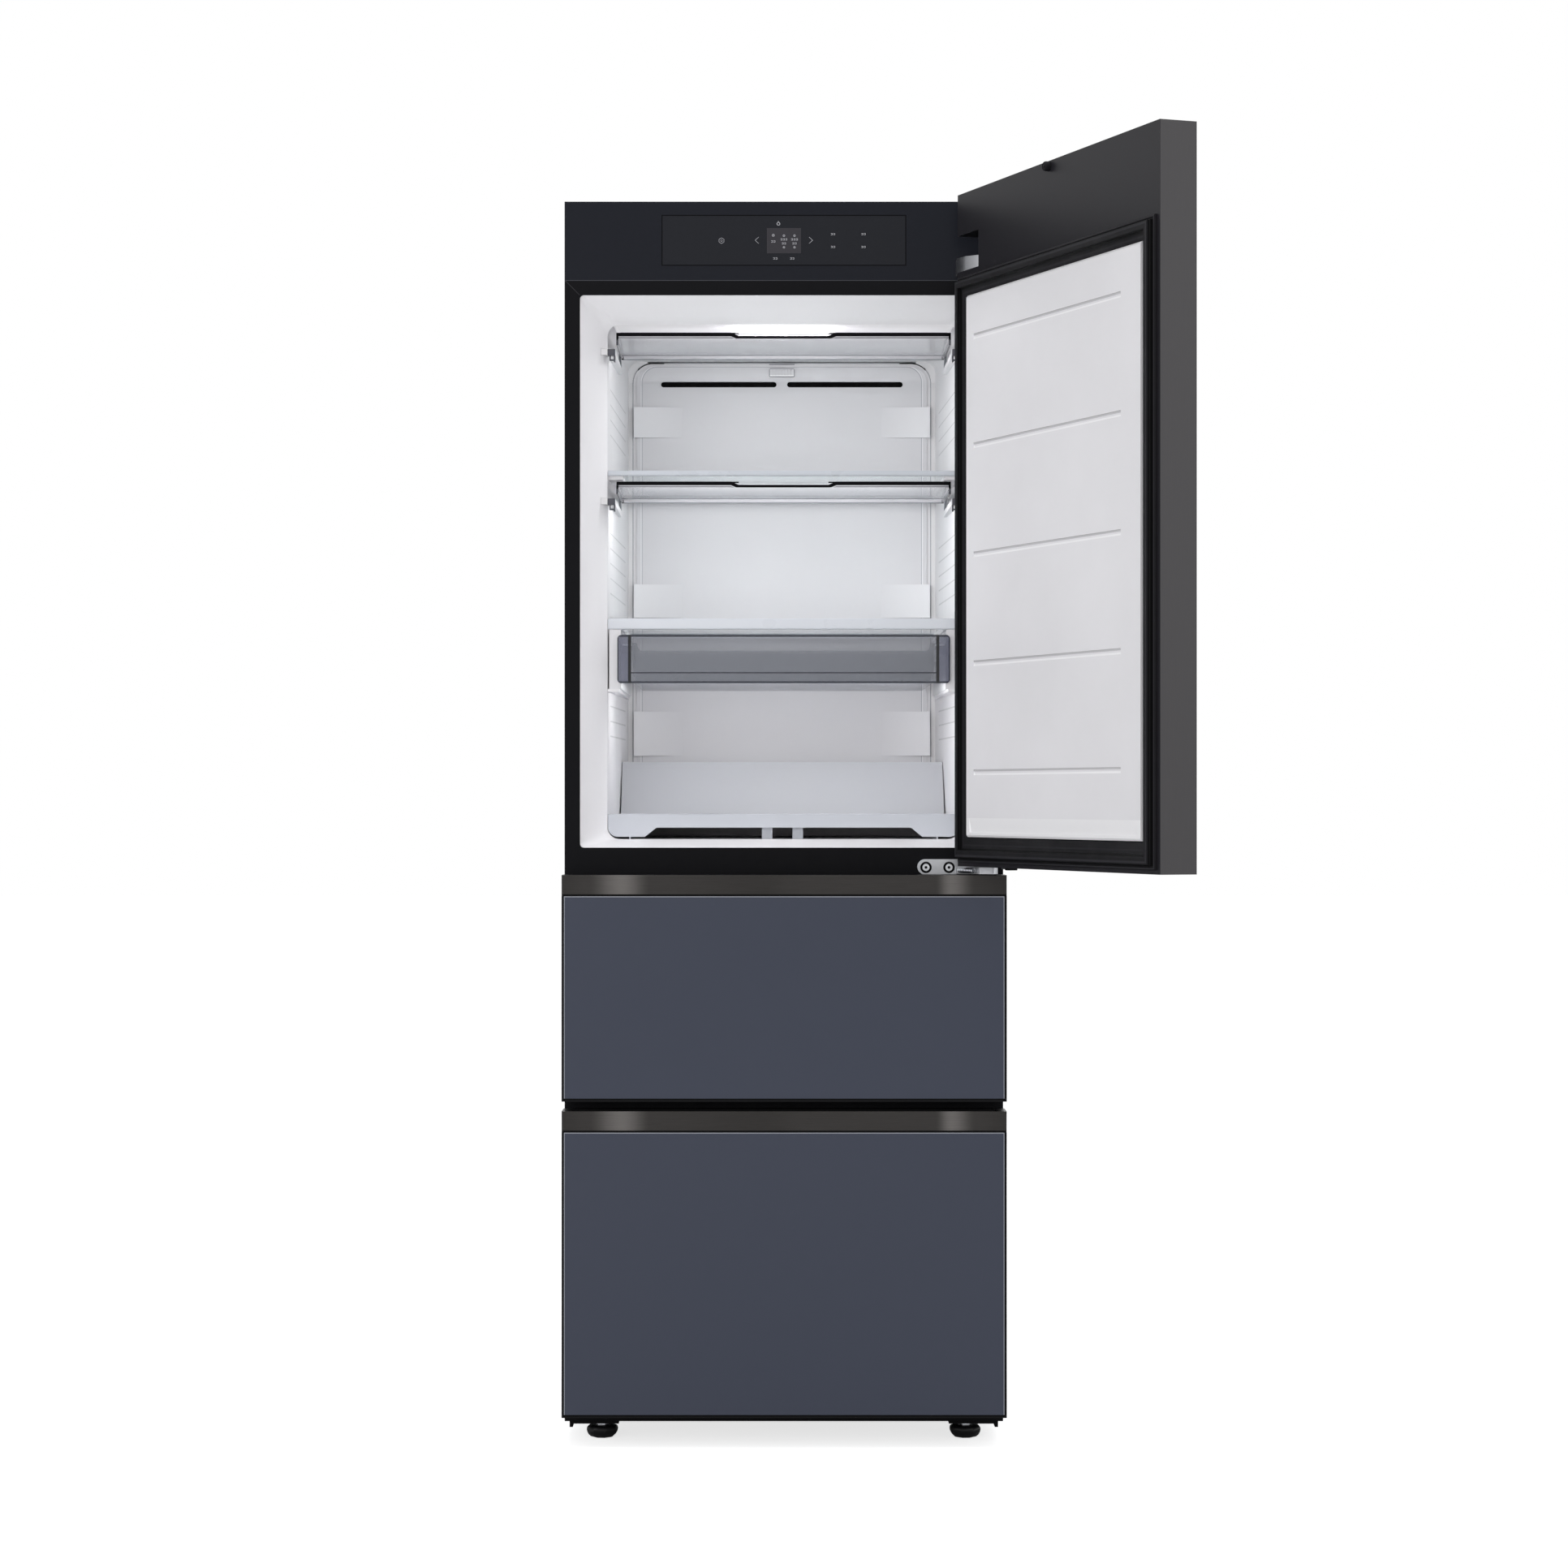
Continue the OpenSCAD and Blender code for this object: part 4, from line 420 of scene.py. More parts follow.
def door_edge_finish():
    """Door shell: brushed edges, a smooth black inner face and a black hinge pocket."""
    f = Finish("door edge and inner face", (0.268, 0.262, 0.268), 0.42, specular=0.3)
    lines = f.noise(26, 5, (60, 60, 1), 0.7)
    f.tinted(lines, 1.05, 0.95)
    f.worn(lines, 0.05)
    f.bumped(lines, 0.05, 0.0001)
    x, y, z = f.axes(door=True)
    inner_face = f.above(y, 46.2)
    glass_seat = f.below(y, -6.9)
    pocket = f.where_all(f.between(x, -54.5, 20), f.between(y, -6, 46.1), f.between(z, 1744.9, 1799.1))
    f.painted(inner_face, (0.134, 0.131, 0.146), roughness=0.36, specular=0.10)
    f.painted(f.where_any(pocket, glass_seat), (0.05, 0.05, 0.055), specular=0.05)
    return f


def drawer_glass_finish(name, top):
    """Painted glass whose ground edge along the top and sides has a painted highlight: a light line painted
    into its colour.
    """
    f = painted_glass(name, (0.265, 0.28, 0.328), 0.2, 0.12)
    x, _, z = f.axes()
    edge_highlight = f.where_any(f.above(z, top - 1.3), f.above(f.size_of(x), 325.2))
    # painted highlight along the ground edge of the top and sides
    f.painted(edge_highlight, (0.56, 0.57, 0.60), roughness=0.3)
    return f


def grip_finish():
    """Brushed bronze strip, with two soft bands of painted highlight and painted shade at its ends and in
    its middle.
    """
    f = Finish("brushed bronze grip", (0.264, 0.256, 0.251), 0.36, metallic=1.0)
    lines = f.noise(30, 6, (1, 60, 60), 0.7)
    x, _, _ = f.axes()
    along = f.spread(x, 0.0, 1.0, -HALF_WIDTH * MM, HALF_WIDTH * MM)
    # painted highlight: two soft light bands near the ends; painted shade at the very ends and in the
    # middle, laid over the brushed lines
    plain, glow, dim = f.shade(1.0), f.shade(3.0), f.shade(0.86)
    left_highlight = [(0.0, dim), (0.06, plain), (0.135, glow), (0.2, plain)]
    middle = [(0.45, dim), (0.55, plain)]
    right_highlight = [(0.84, plain), (0.875, glow), (0.93, plain), (1.0, dim)]
    highlights_over_brushing = f.nodes.new("ShaderNodeMix")
    highlights_over_brushing.data_type = "RGBA"
    highlights_over_brushing.blend_type = "OVERLAY"
    highlights_over_brushing.inputs[0].default_value = 0.35
    f.links.new(f.ramp(along, left_highlight + middle + right_highlight, "EASE"), highlights_over_brushing.inputs[6])
    f.links.new(f.ramp(lines, [(0.3, (0.35, 0.35, 0.35)), (0.7, (0.65, 0.65, 0.65))]), highlights_over_brushing.inputs[7])
    f.feed("Base Color", highlights_over_brushing.outputs[2])
    f.worn(lines, 0.06)
    f.bumped(lines, 0.05, 0.0001)
    return f


def guard_finish(name, pivot):
    """Clear guard: its thick front rim and its side walls are painted darker, a painted shade that stands
    in for how thick clear edges look, and lines run along the bar at its pivot."""
    f = clear_moulding(name, (0.85, 0.842, 0.86), 0.1, 0.42)
    top = pivot + 12
    x, y, z = f.axes()
    across = f.size_of(x)
    front = f.before(y, 70.5)
    finger_dip = f.spread(across, 0.0, 5 * MM, 80 * MM, 68 * MM)
    height = f.maths("ADD", z, finger_dip)
    side_wall = f.above(across, 250.6)
    # painted shade: darker lines along the thick front rim and its side walls, where thick clear edges look
    # dark
    f.painted(f.where_all(front, f.between(height, top - 8.4, top - 7.2)), (0.36, 0.36, 0.39), alpha=0.9)
    f.painted(f.where_all(front, f.where_any(f.above(height, top - 5.6), side_wall)),
              (0.05, 0.05, 0.06), alpha=1.0, specular=0.05)
    bar_lines = f.where_any(*(f.between(z, pivot + low, pivot + high)
                              for low, high in ((2.2, 4.1), (-4.1, -2.8), (-0.8, 0.6))))
    f.painted(f.where_all(f.behind(y, 279.5), bar_lines), (0.47, 0.48, 0.50), alpha=0.85)
    # painted shade on the side walls below the pivot
    f.painted(f.where_all(side_wall, f.below(z, pivot + 1)), (0.27, 0.27, 0.30), alpha=0.85)
    return f


def meat_drawer_finish():
    """Smoked clear drawer: painted shade, in darker lines and bands, where its walls stand edge-on to the
    eye.
    """
    f = clear_moulding("smoked clear drawer", (0.56, 0.572, 0.605), 0.1, 0.4)
    x, y, z = f.axes()
    across = f.size_of(x)
    front = f.before(y, 59.5)
    end_cap = f.above(across, 235.8)
    # painted shade: darker end caps, borders, fold line and top edges where the clear walls stand edge-on
    f.painted(f.where_all(front, end_cap), (0.46, 0.47, 0.54), alpha=0.62)
    fold = f.where_all(f.below(across, 233.4), f.between(z, 1154.3, 1156.0))
    border = f.where_any(f.above(z, 1209.6), f.above(across, 250.2), fold, f.below(z, 1142.2))
    f.painted(f.where_all(front, border), (0.19, 0.20, 0.25), alpha=0.92)
    f.painted(f.where_all(front, f.between(across, 231.2, 235.8)), (0.06, 0.06, 0.08), alpha=0.97)
    f.painted(f.where_all(f.behind(y, 60.0), f.above(z, 1210.4)), (0.40, 0.42, 0.47), alpha=0.7)
    return f


def round_corner(f, across, z, corner):
    """Distance from the straight and rounded run of a border whose corner is centred there."""
    over = f.maths("MAXIMUM", f.maths("SUBTRACT", across, corner[0] * MM), 0.0)
    up = f.maths("MAXIMUM", f.maths("SUBTRACT", z, corner[1] * MM), 0.0)
    return f.distance(over, up)


def duct_finish():
    """Duct panel: pale plastic. Its border steps back, and its side outlets rise outwards; painted light
    and shade show these: lighter outlets and border, highlight and shade lines along the steps, and painted
    shadow in the gaps at its top.
    """
    f = moulded_plastic("pale duct panel", (0.842, 0.838, 0.85), 0.4)
    x, y, z = f.axes()
    across = f.size_of(x)
    # painted highlight: the outlets lighter towards their outer edges, and the stepped-back border lighter
    hood_highlight = f.where_all(f.before(y, 537.9), f.spread(across, 0.0, 1.0, 162 * MM, 243 * MM))
    f.painted(hood_highlight, (0.915, 0.912, 0.922))
    f.painted(f.behind(y, 538.5), (0.88, 0.876, 0.885))
    panel = f.behind(y, 537.8)
    # painted shade and painted highlight lines along the steps of the field and of the border
    field = round_corner(f, across, z, (204, 1649))
    f.painted(f.where_all(panel, f.between(field, 25.4, 26.9)), (0.72, 0.72, 0.74))
    f.painted(f.where_all(panel, f.between(field, 26.9, 28.2)), (0.94, 0.937, 0.945))
    border = round_corner(f, across, z, DUCT_CORNER)
    f.painted(f.where_all(panel, f.between(border, 31.3, 33.2)), (0.66, 0.66, 0.68))
    shadow = f.where_all(f.between(border, 30.9, 34), f.between(across, 193.7, 236.7))
    f.painted(f.where_all(panel, shadow), (0.06, 0.06, 0.065))
    # painted shade in the gap above the sensor's cover
    notch_shade = f.where_all(f.between(across, -1, 21), f.between(z, 1678.4, 1680.6))
    f.painted(f.where_all(panel, notch_shade), (0.58, 0.58, 0.6))
    return f


def sensor_finish():
    """Sensor's cover: pale plastic in a thin dark joint, lit along its lower edge."""
    f = moulded_plastic("pale sensor cover", (0.86, 0.857, 0.868), 0.4)
    x, _, z = f.axes()
    across = f.size_of(x)
    left_right, top, foot = 19.7, 1670.6, 1659.0
    joint = f.where_any(f.above(across, left_right), f.above(z, top), f.below(z, foot))
    f.painted(joint, (0.56, 0.56, 0.58))
    lit_edge = f.where_all(f.between(across, -1, left_right), f.between(z, foot, foot + 2.2))
    f.painted(lit_edge, (0.97, 0.97, 0.975))
    return f


def lining_finish():
    """White lining of the upper compartment, with painted light and shade: its mouth painted brighter,
    painted shade lines for the faint ribs of its side walls, the noses of the guards' tracks painted
    darker, and a painted glow of the lamp on its ceiling."""
    f = moulded_plastic("white upper lining", (0.925, 0.918, 0.925), 0.38)
    x, y, z = f.axes()
    across = f.size_of(x)
    # painted light: the mouth lighter towards the front
    f.painted(f.spread(y, 0.0, 1.0, deep(72), deep(58)), (0.968, 0.962, 0.97))
    # painted shade lines on the side walls in place of the relief of their faint ribs
    runs = ((1590, 4), (1370, 5), (1105, 3))      # height of a run's upper rib, and how many
    ribs = f.where_any(*(f.between(z, upper - 23 * i, upper - 23 * i + 2.2)
                         for upper, count in runs for i in range(count)))
    side_wall = f.where_all(f.within_depths(y, 120, 470), f.above(across, 253.5))
    f.painted(f.where_all(side_wall, ribs), (0.80, 0.795, 0.80))
    noses = f.where_any(*(f.between(z, pivot - 25.4, pivot - 13.6) for pivot in GUARD_PIVOTS.values()))
    # painted shade: the noses' lit front faces painted darker to match the mouth
    f.painted(f.where_all(noses, f.between(across, 266.2, 277.5), f.before(y, 60.5)), (0.90, 0.895, 0.90))
    # painted glow: the ceiling lamp's light painted as emission on the ceiling
    f.set("Emission Color", (1, 1, 1, 1))
    f.painted(f.where_all(f.above(z, 1681), f.within_depths(y, 60, 230)), glow=0.28)
    return f


def door_liner_finish():
    """Door's inner panel: shadow along the top of each groove, light along its foot."""
    f = moulded_plastic("white door panel", (0.925, 0.92, 0.93), 0.38)
    x, _, z = f.axes(door=True)
    run = f.between(x, -226 - HINGE_X, 259 - HINGE_X)
    grooves = [1003 + 159.8 * i for i in range(5)]
    shadow = f.where_any(*(f.between(z, groove + 1.2, groove + 4.2) for groove in grooves))
    light = f.where_any(*(f.between(z, groove - 4.2, groove - 1.4) for groove in grooves))
    f.painted(f.where_all(run, shadow), (0.80, 0.795, 0.805))
    f.painted(f.where_all(run, light), (0.985, 0.982, 0.988))
    # painted light: the panel's foot painted brighter
    f.painted(f.below(z, 936), (0.96, 0.957, 0.963))
    return f


def tray_finish():
    """Silver tray: its apron faces the front, its floor and riser are in softer light."""
    f = moulded_plastic("silver tray", (0.80, 0.812, 0.84), 0.36)
    _, y, _ = f.axes()
    # painted shade: the floor and riser, farther back, painted darker
    f.painted(f.behind(y, 300), (0.705, 0.709, 0.725))
    return f


def base_finish():
    """Zinc base plate; the brackets of its front feet are painted black."""
    f = spangled_zinc("zinc base plate", (0.62, 0.64, 0.66))
    _, y, _ = f.axes()
    f.painted(f.before(y, 110), (0.045, 0.045, 0.05), metallic=0.0, roughness=0.5, specular=0.08)
    return f


def from_screws(f, x, z):
    """Distance to the nearer screw of the middle hinge."""
    return f.maths("MINIMUM", *(f.distance(f.maths("SUBTRACT", x, screw[0] * MM),
                                           f.maths("SUBTRACT", z, screw[1] * MM))
                                for screw in HINGE_SCREWS))


def hinge_finish():
    """Hinge steel: the middle hinge is brighter, with painted shade in the recess round each screw."""
    f = brushed_metal("tumbled hinge steel", (0.60, 0.605, 0.62), (6, 6, 6), 0.36)
    x, y, z = f.axes()
    f.painted(f.below(z, 900), (0.78, 0.785, 0.80))
    # painted shade in the recess round each screw
    recess = f.where_all(f.between(from_screws(f, x, z), -1, 8.6), f.before(y, 0))
    f.painted(recess, (0.07, 0.07, 0.075))
    return f


def screw_finish():
    """Plated screws; those of the middle hinge have painted shade round their rim and in their recess."""
    f = brushed_metal("plated screw heads", (0.84, 0.845, 0.86), (4, 4, 4), 0.24)
    x, y, z = f.axes()
    away = from_screws(f, x, z)
    # painted shade round the rim and in the recess of the middle hinge's screws
    dark = f.where_any(f.between(away, 5.3, 7), f.between(away, -1, 2.1))
    f.painted(f.where_all(dark, f.below(z, 900), f.below(y, 0)), (0.09, 0.09, 0.095))
    return f


grip = grip_finish()
drawer_trim = powder_coat("black drawer trim", (0.075, 0.075, 0.08), 0.4, 0.1)
NODE_FINISHES = {
    "door_shell": door_edge_finish(),
    "door_liner": door_liner_finish(),
    "door_hinges": hinge_finish(),
    "cabinet_screws": screw_finish(),
    "upper_drawer_panel": drawer_glass_finish("upper drawer glass", 819.6),
    "lower_drawer_panel": drawer_glass_finish("lower drawer glass", 469.4),
    "upper_drawer_grip": grip,
    "lower_drawer_grip": grip,
    "upper_drawer_shell": drawer_trim,
    "lower_drawer_shell": drawer_trim,
    "upper_liner": lining_finish(),
    "duct_panel": duct_finish(),
    "sensor_cover": sensor_finish(),
    "guard_1": guard_finish("clear upper guard", GUARD_PIVOTS["guard_1"]),
    "guard_2": guard_finish("clear lower guard", GUARD_PIVOTS["guard_2"]),
    # painted light: a lighter copy of the silver trim for the deeper trim of the second shelf
    "shelf_2_trim": moulded_plastic("deep silver trim painted lighter", (0.865, 0.877, 0.90), 0.3),
    "meat_drawer": meat_drawer_finish(),
    "bottom_tray": tray_finish(),
    "base_plate": base_finish(),
}

for part in frame["record"]["subparts"]:
    name = part["node"]
    finish = NODE_FINISHES.get(name) or SLOT_FINISHES[part["material_slot"]]
    node = frame["nodes"][name]
    node.data.materials.clear()
    node.data.materials.append(finish.material)


# ---------------------------------------------------------------- softened edges

def soften(name, width):
    """Rounds the hard edges of a CAD node a little, as moulding and pressing do."""
    node = frame["nodes"][name]
    weld = node.modifiers.new("join faces", "WELD")
    weld.merge_threshold = 0.00001
    flat = node.modifiers.new("clean flats", "DECIMATE")
    flat.decimate_type = "DISSOLVE"
    flat.angle_limit = math.radians(0.6)
    edge = node.modifiers.new("soft edges", "BEVEL")
    edge.width = width * MM
    edge.segments = 2
    edge.limit_method = "ANGLE"
    edge.angle_limit = math.radians(32)
    edge.profile = 0.5
    shade = node.modifiers.new("even shading", "WEIGHTED_NORMAL")
    shade.keep_sharp = False


# ---------------------------------------------------------------- making pieces

SHARP = math.radians(40)                  # faces that meet at more than this stay crisp
DOUBLES = 0.000002                        # points nearer than this are one


def at(x, d, z):
    """A point from millimetres: across, back from the cabinet's front, and up."""
    return Vector((x * MM, deep(d), z * MM))


def on_side(side, inner, outer):
    """A stretch across, on the left or on the right, in order."""
    return sorted((side * inner, side * outer))


def finished(name, mesh, finish, body, stands_for=(), door=False):
    """Makes the mesh a piece that rides on a body. The door's pieces are made shut and
    turned open here."""
    if door:
        bmesh.ops.rotate(mesh, verts=mesh.verts, cent=HINGE, matrix=Matrix.Rotation(DOOR_OPEN, 3, "Z"))
    bmesh.ops.recalc_face_normals(mesh, faces=mesh.faces)
    data = bpy.data.meshes.new(name)
    mesh.to_mesh(data)
    mesh.free()
    data.shade_smooth()
    data.set_sharp_from_angle(angle=SHARP)
    data.materials.append(finish.material)
    piece = bpy.data.objects.new(name, data)
    bpy.context.scene.collection.objects.link(piece)
    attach(piece, body)
    if stands_for:
        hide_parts(*stands_for)


def edges_of(verts):
    return list({e for v in verts for e in v.link_edges})


def rounded(mesh, verts, edge):
    bmesh.ops.bevel(mesh, geom=edges_of(verts), offset=edge * MM, offset_type="OFFSET", affect="EDGES",
                    segments=2, profile=0.5, material=-1)


def slab(mesh, low, high, edge=0.0, turn=0.0):
    """A block between two corners, its edges rounded, turned about its middle as seen from
    the front."""
    low, high = at(*low), at(*high)
    place = Matrix.Translation((low + high) / 2) @ Matrix.Rotation(math.radians(turn), 4, "Y")
    made = bmesh.ops.create_cube(mesh, size=1.0, matrix=place @ Matrix.Diagonal((*(high - low), 1)))
    if edge:
        rounded(mesh, made["verts"], edge)


def turned(mesh, outline, centre, axis, steps=32):
    """A round shape. Its outline is (radius, height) in millimetres, spun about the axis."""
    axis = Vector(axis).normalized()
    side = axis.orthogonal().normalized()
    verts = [mesh.verts.new(centre + side * (r * MM) + axis * (h * MM)) for r, h in outline]
    edges = [mesh.edges.new(pair) for pair in zip(verts, verts[1:])]
    bmesh.ops.spin(mesh, geom=verts + edges, cent=centre, axis=axis, angle=math.tau, steps=steps,
                   use_merge=True)
    bmesh.ops.remove_doubles(mesh, verts=mesh.verts, dist=DOUBLES)


def rectangle(mesh, x, z, d):
    """A four-cornered loop seen from the front, at one depth. Gives its edges."""
    place = (Matrix.Translation(at(sum(x) / 2, d, sum(z) / 2))
             @ Matrix.Rotation(math.radians(90), 4, "X")
             @ Matrix.Diagonal(((x[1] - x[0]) * MM, (z[1] - z[0]) * MM, 1, 1))
             @ Matrix.Rotation(math.radians(45), 4, "Z"))
    made = bmesh.ops.create_circle(mesh, segments=4, radius=math.sqrt(0.5), matrix=place)
    return edges_of(made["verts"])


def moulding(mesh, x, z, outline):
    """A frame with mitred corners. Its outline is (inset of the sides, of the top, of the
    foot, depth)."""
    middle = at(sum(x) / 2, 0, sum(z) / 2)
    edges = rectangle(mesh, x, z, outline[0][3])
    for side, top, foot, depth in outline[1:] + outline[:1]:
        made = bmesh.ops.extrude_edge_only(mesh, edges=edges)["geom"]
        edges = [part for part in made if isinstance(part, bmesh.types.BMEdge)]
        for v in (part for part in made if isinstance(part, bmesh.types.BMVert)):
            v.co = at(x[0] + side if v.co.x < middle.x else x[1] - side, depth,
                      z[0] + foot if v.co.z < middle.z else z[1] - top)
    bmesh.ops.remove_doubles(mesh, verts=mesh.verts, dist=DOUBLES)


def prism(mesh, sides, radius, z, centre, turn, edge):
    """An upright bar with that many sides and rounded edges."""
    place = Matrix.Translation(at(*centre, sum(z) / 2)) @ Matrix.Rotation(math.radians(turn), 4, "Z")
    made = bmesh.ops.create_cone(mesh, cap_ends=True, segments=sides, radius1=radius * MM,
                                 radius2=radius * MM, depth=(z[1] - z[0]) * MM, matrix=place)
    rounded(mesh, made["verts"], edge)


# ---------------------------------------------------------------- door seal and buffer

SEAL_SIDES, SEAL_HEIGHTS = (-322, 322), (870.3, 1736)     # outer border of the shut door's seal
SEAL_FOLD = [(0, 0), (0, 3.0), (1.0, 4.4), (3.0, 4.8), (4.2, 3.6), (5.6, 3.4), (6.4, 5.0), (6.0, 7.0),
             (7.4, 8.4), (6.8, 10.2), (8.0, 12.0), (9.8, 12.4), (16.4, 12.4), (18.2, 11.4), (18.4, 9.8),
             (16.9, 8.6), (17.3, 7.0), (19.0, 5.8), (22.0, 5.9), (26.0, 5.3), (29.6, 3.4), (30.6, 0)]
BUFFER = [(0, 9), (1.6, 9), (2.0, 8.0), (4.2, 8.0), (5.0, 8.9), (6.4, 7.6), (7, 5.5), (7, 0.2), (0, 0.2)]


def seal_finish():
    """Black rubber: painted deep shadow in the folds, painted highlight on their crests and a soft painted
    highlight band on the skirt.
    """
    f = soft_rubber("folded door seal", (0.092, 0.09, 0.10))
    x, _, z = f.axes(door=True)
    left, right = ((edge - HINGE_X) * MM for edge in SEAL_SIDES)
    foot, top = (edge * MM for edge in SEAL_HEIGHTS)
    from_sides = f.maths("MINIMUM", f.maths("SUBTRACT", x, left), f.maths("SUBTRACT", right, x))
    from_ends = f.maths("MINIMUM", f.maths("SUBTRACT", top, z), f.maths("SUBTRACT", z, foot))
    inset = f.maths("MINIMUM", from_sides, from_ends)
    # painted shadow in the folds
    f.painted(f.where_any(f.between(inset, 4.9, 7.2), f.between(inset, 17.2, 20.5)), (0.012, 0.012, 0.016))
    # painted highlight on the crests of the folds, and a softer painted highlight band on the skirt
    f.painted(f.where_any(f.between(inset, 1.0, 2.6), f.between(inset, 8.6, 11.4)), (0.17, 0.168, 0.182))
    f.painted(f.between(inset, 24.5, 27.0), (0.135, 0.133, 0.146))
    return f


def door_seal():
    """Seal of the door: a skirt, a folded bellows and the magnet's bead, with mitred corners.
    The skirt is wider along the sides and the foot. A round buffer sits above the seal."""
    bead_end, skirt_end, liner_plane = 19.0, 30.6, -13
    outline = []
    for inset, height in SEAL_FOLD:
        along_skirt = max(0.0, inset - bead_end) / (skirt_end - bead_end)
        outline.append((inset + 6.0 * along_skirt, inset, inset + 6.7 * along_skirt, height + liner_plane))
    mesh = bmesh.new()
    moulding(mesh, SEAL_SIDES, SEAL_HEIGHTS, outline)
    turned(mesh, BUFFER, at(12, liner_plane, 1852), (0, 1, 0))
    finished("door_seal", mesh, seal_finish(), "door", ["door_gasket"], door=True)


# ---------------------------------------------------------------- control panel

def control_marks():
    """Plain marks of the touch panel: arrows, a frost sign, rings and small dashes."""
    mesh = bmesh.new()
    near, far = 0.06, 0.22                # depths of a mark's two faces

    def dash(x, z, width, height, turn=0.0):
        slab(mesh, (x - width / 2, near, z - height / 2), (x + width / 2, far, z + height / 2), turn=turn)

    def ring(x, z, radius, line):
        outline = [(radius, 0), (radius, 0.15), (radius - line, 0.15), (radius - line, 0), (radius, 0)]
        turned(mesh, outline, at(x, far, z), (0, -1, 0), 16)

    def sign_row(x, z, signs):
        for i in range(signs):
            left = x + (i - (signs - 1) / 2) * 3.6
            dash(left, z + 1.1, 2.6, 0.75)
            dash(left, z - 1.1, 2.6, 0.75)
            dash(left + 0.9, z, 0.7, 2.6)

    for side in (-1, 1):
        dash(side * 40.5, 1802.1 + 2.4, 7.2, 0.55, turn=side * 42)
        dash(side * 40.5, 1802.1 - 2.4, 7.2, 0.55, turn=side * -42)
    frost_x, frost_z, reach = -93.6, 1801.5, 3.7
    for i in range(6):
        angle = math.radians(60 * i)
        dash(frost_x + reach * math.cos(angle), frost_z + reach * math.sin(angle), 0.5, 4.2, turn=-60 * i)
    ring(frost_x, frost_z, 1.5, 0.4)
    ring(-8.2, 1826.8, 2.6, 0.9)
    dash(-8.2, 1830.0, 0.9, 1.8)
    ring(-15.9, 1809.6, 1.9, 0.8)
    sign_row(-15.9, 1800.3, 2)
    for x in (0.1, 15.9):
        ring(x, 1809.0, 1.7, 0.8)
        sign_row(x, 1803.4, 3)
        sign_row(x, 1797.4, 2)
        ring(x, 1791.6, 1.6, 0.8)
    for x, z in ((-12.9, 1774.8), (12.5, 1774.8), (73.8, 1811.3), (119.5, 1811.3), (73.8, 1792.1),
                 (119.5, 1792.1)):
        sign_row(x, z, 2)
    finished("control_marks", mesh, moulded_plastic("printed panel marks", (0.70, 0.70, 0.72), 0.5, 0.1),
             "cabinet")


def control_lines():
    """The touch field, the window's seam, a painted highlight along the ground lower edge of the panel, and
    the frame's mitres.
    """
    field = bmesh.new()
    slab(field, (-25.5, 0.12, 1782.6), (25.6, 0.3, 1820.4))
    finished("touch_field", field, painted_glass("lit touch field", (0.228, 0.222, 0.238), 0.3, 0.1),
             "cabinet")
    seam = bmesh.new()
    near, far, line = -0.03, 0.2, 1.5
    moulding(seam, (-183.6, 183.6), (1763.8, 1840.2),
             [(0, 0, 0, far), (0, 0, 0, near), (line, line, line, near), (line, line, line, far)])
    finished("window_seam", seam, painted_glass("dark window seam", (0.055, 0.055, 0.065), 0.4, 0.04),
             "cabinet")
    # painted highlight: a light line along the panel's ground lower edge
    lip = bmesh.new()
    slab(lip, (-328.8, -0.05, 1741.3), (328.8, 0.4, 1742.3))
    finished("panel_lip_highlight", lip, painted_glass("painted highlight on the panel's ground lip", (0.25, 0.255, 0.275), 0.4, 0.15),
             "cabinet")
    joint = bmesh.new()
    for side in (-1, 1):
        slab(joint, (side * 317 - 15.4, -0.04, 1730.0), (side * 317 + 15.4, 0.2, 1731.0), turn=side * -45)
    finished("frame_mitres", joint, powder_coat("frame joint", (0.19, 0.19, 0.20), 0.5, 0.1),
             "cabinet")


# ---------------------------------------------------------------- upper compartment

def duct_surround():
    """Pale sealing strips that close the gap between duct panel and lining, and black blocks behind
    the two long outlets, put there as painted shade inside them."""
    strips = bmesh.new()
    near, far = 541, 543.4                # depths of the strip's two faces
    inner, outer = 32.4, 46.0             # radii of its turn round the corner
    corner_x, corner_z = DUCT_CORNER
    for side in (-1, 1):
        x = on_side(side, 245.6, 254.2)
        slab(strips, (x[0], near, 930), (x[1], far, corner_z), 0.4)
        start = [strips.verts.new(at(side * (corner_x + radius), depth, corner_z))
                 for radius, depth in ((inner, near), (outer, near), (outer, far), (inner, far))]
        bmesh.ops.spin(strips, geom=[strips.faces.new(start)], cent=at(side * corner_x, near, corner_z),
                       axis=(0, 1, 0), angle=-side * math.pi / 2 * 0.86, steps=12, use_merge=False)
    finished("duct_seals", strips, moulded_plastic("pale sealing strip", (0.88, 0.875, 0.88), 0.5),
             "cabinet")
    # painted shade: black blocks where there is only shade inside the outlets
    slot_shade = bmesh.new()
    for side in (-1, 1):
        x = on_side(side, 6.0, 201.0)
        slab(slot_shade, (x[0], 544.2, 1637), (x[1], 553, 1655), 0.8)
    finished("outlet_shade_blocks", slot_shade, soft_rubber("black shade behind the outlets", (0.02, 0.02, 0.022)),
             "cabinet")


# Blocks of one rest: stretch across, depths, heights under its top, rounding.
REST_BLOCKS = (
    ((254.9, 266.6), (44.6, 59.4), (-10.2, 0), 0.7),
    ((254.9, 257.2), (45.4, 58.6), (-19.5, -9.4), 0.5),
    ((261.8, 263.6), (46.4, 57.6), (-16.5, -9.4), 0.4),
    ((254.9, 263.6), (49.0, 51.0), (-17.6, -15.2), 0.4),
)


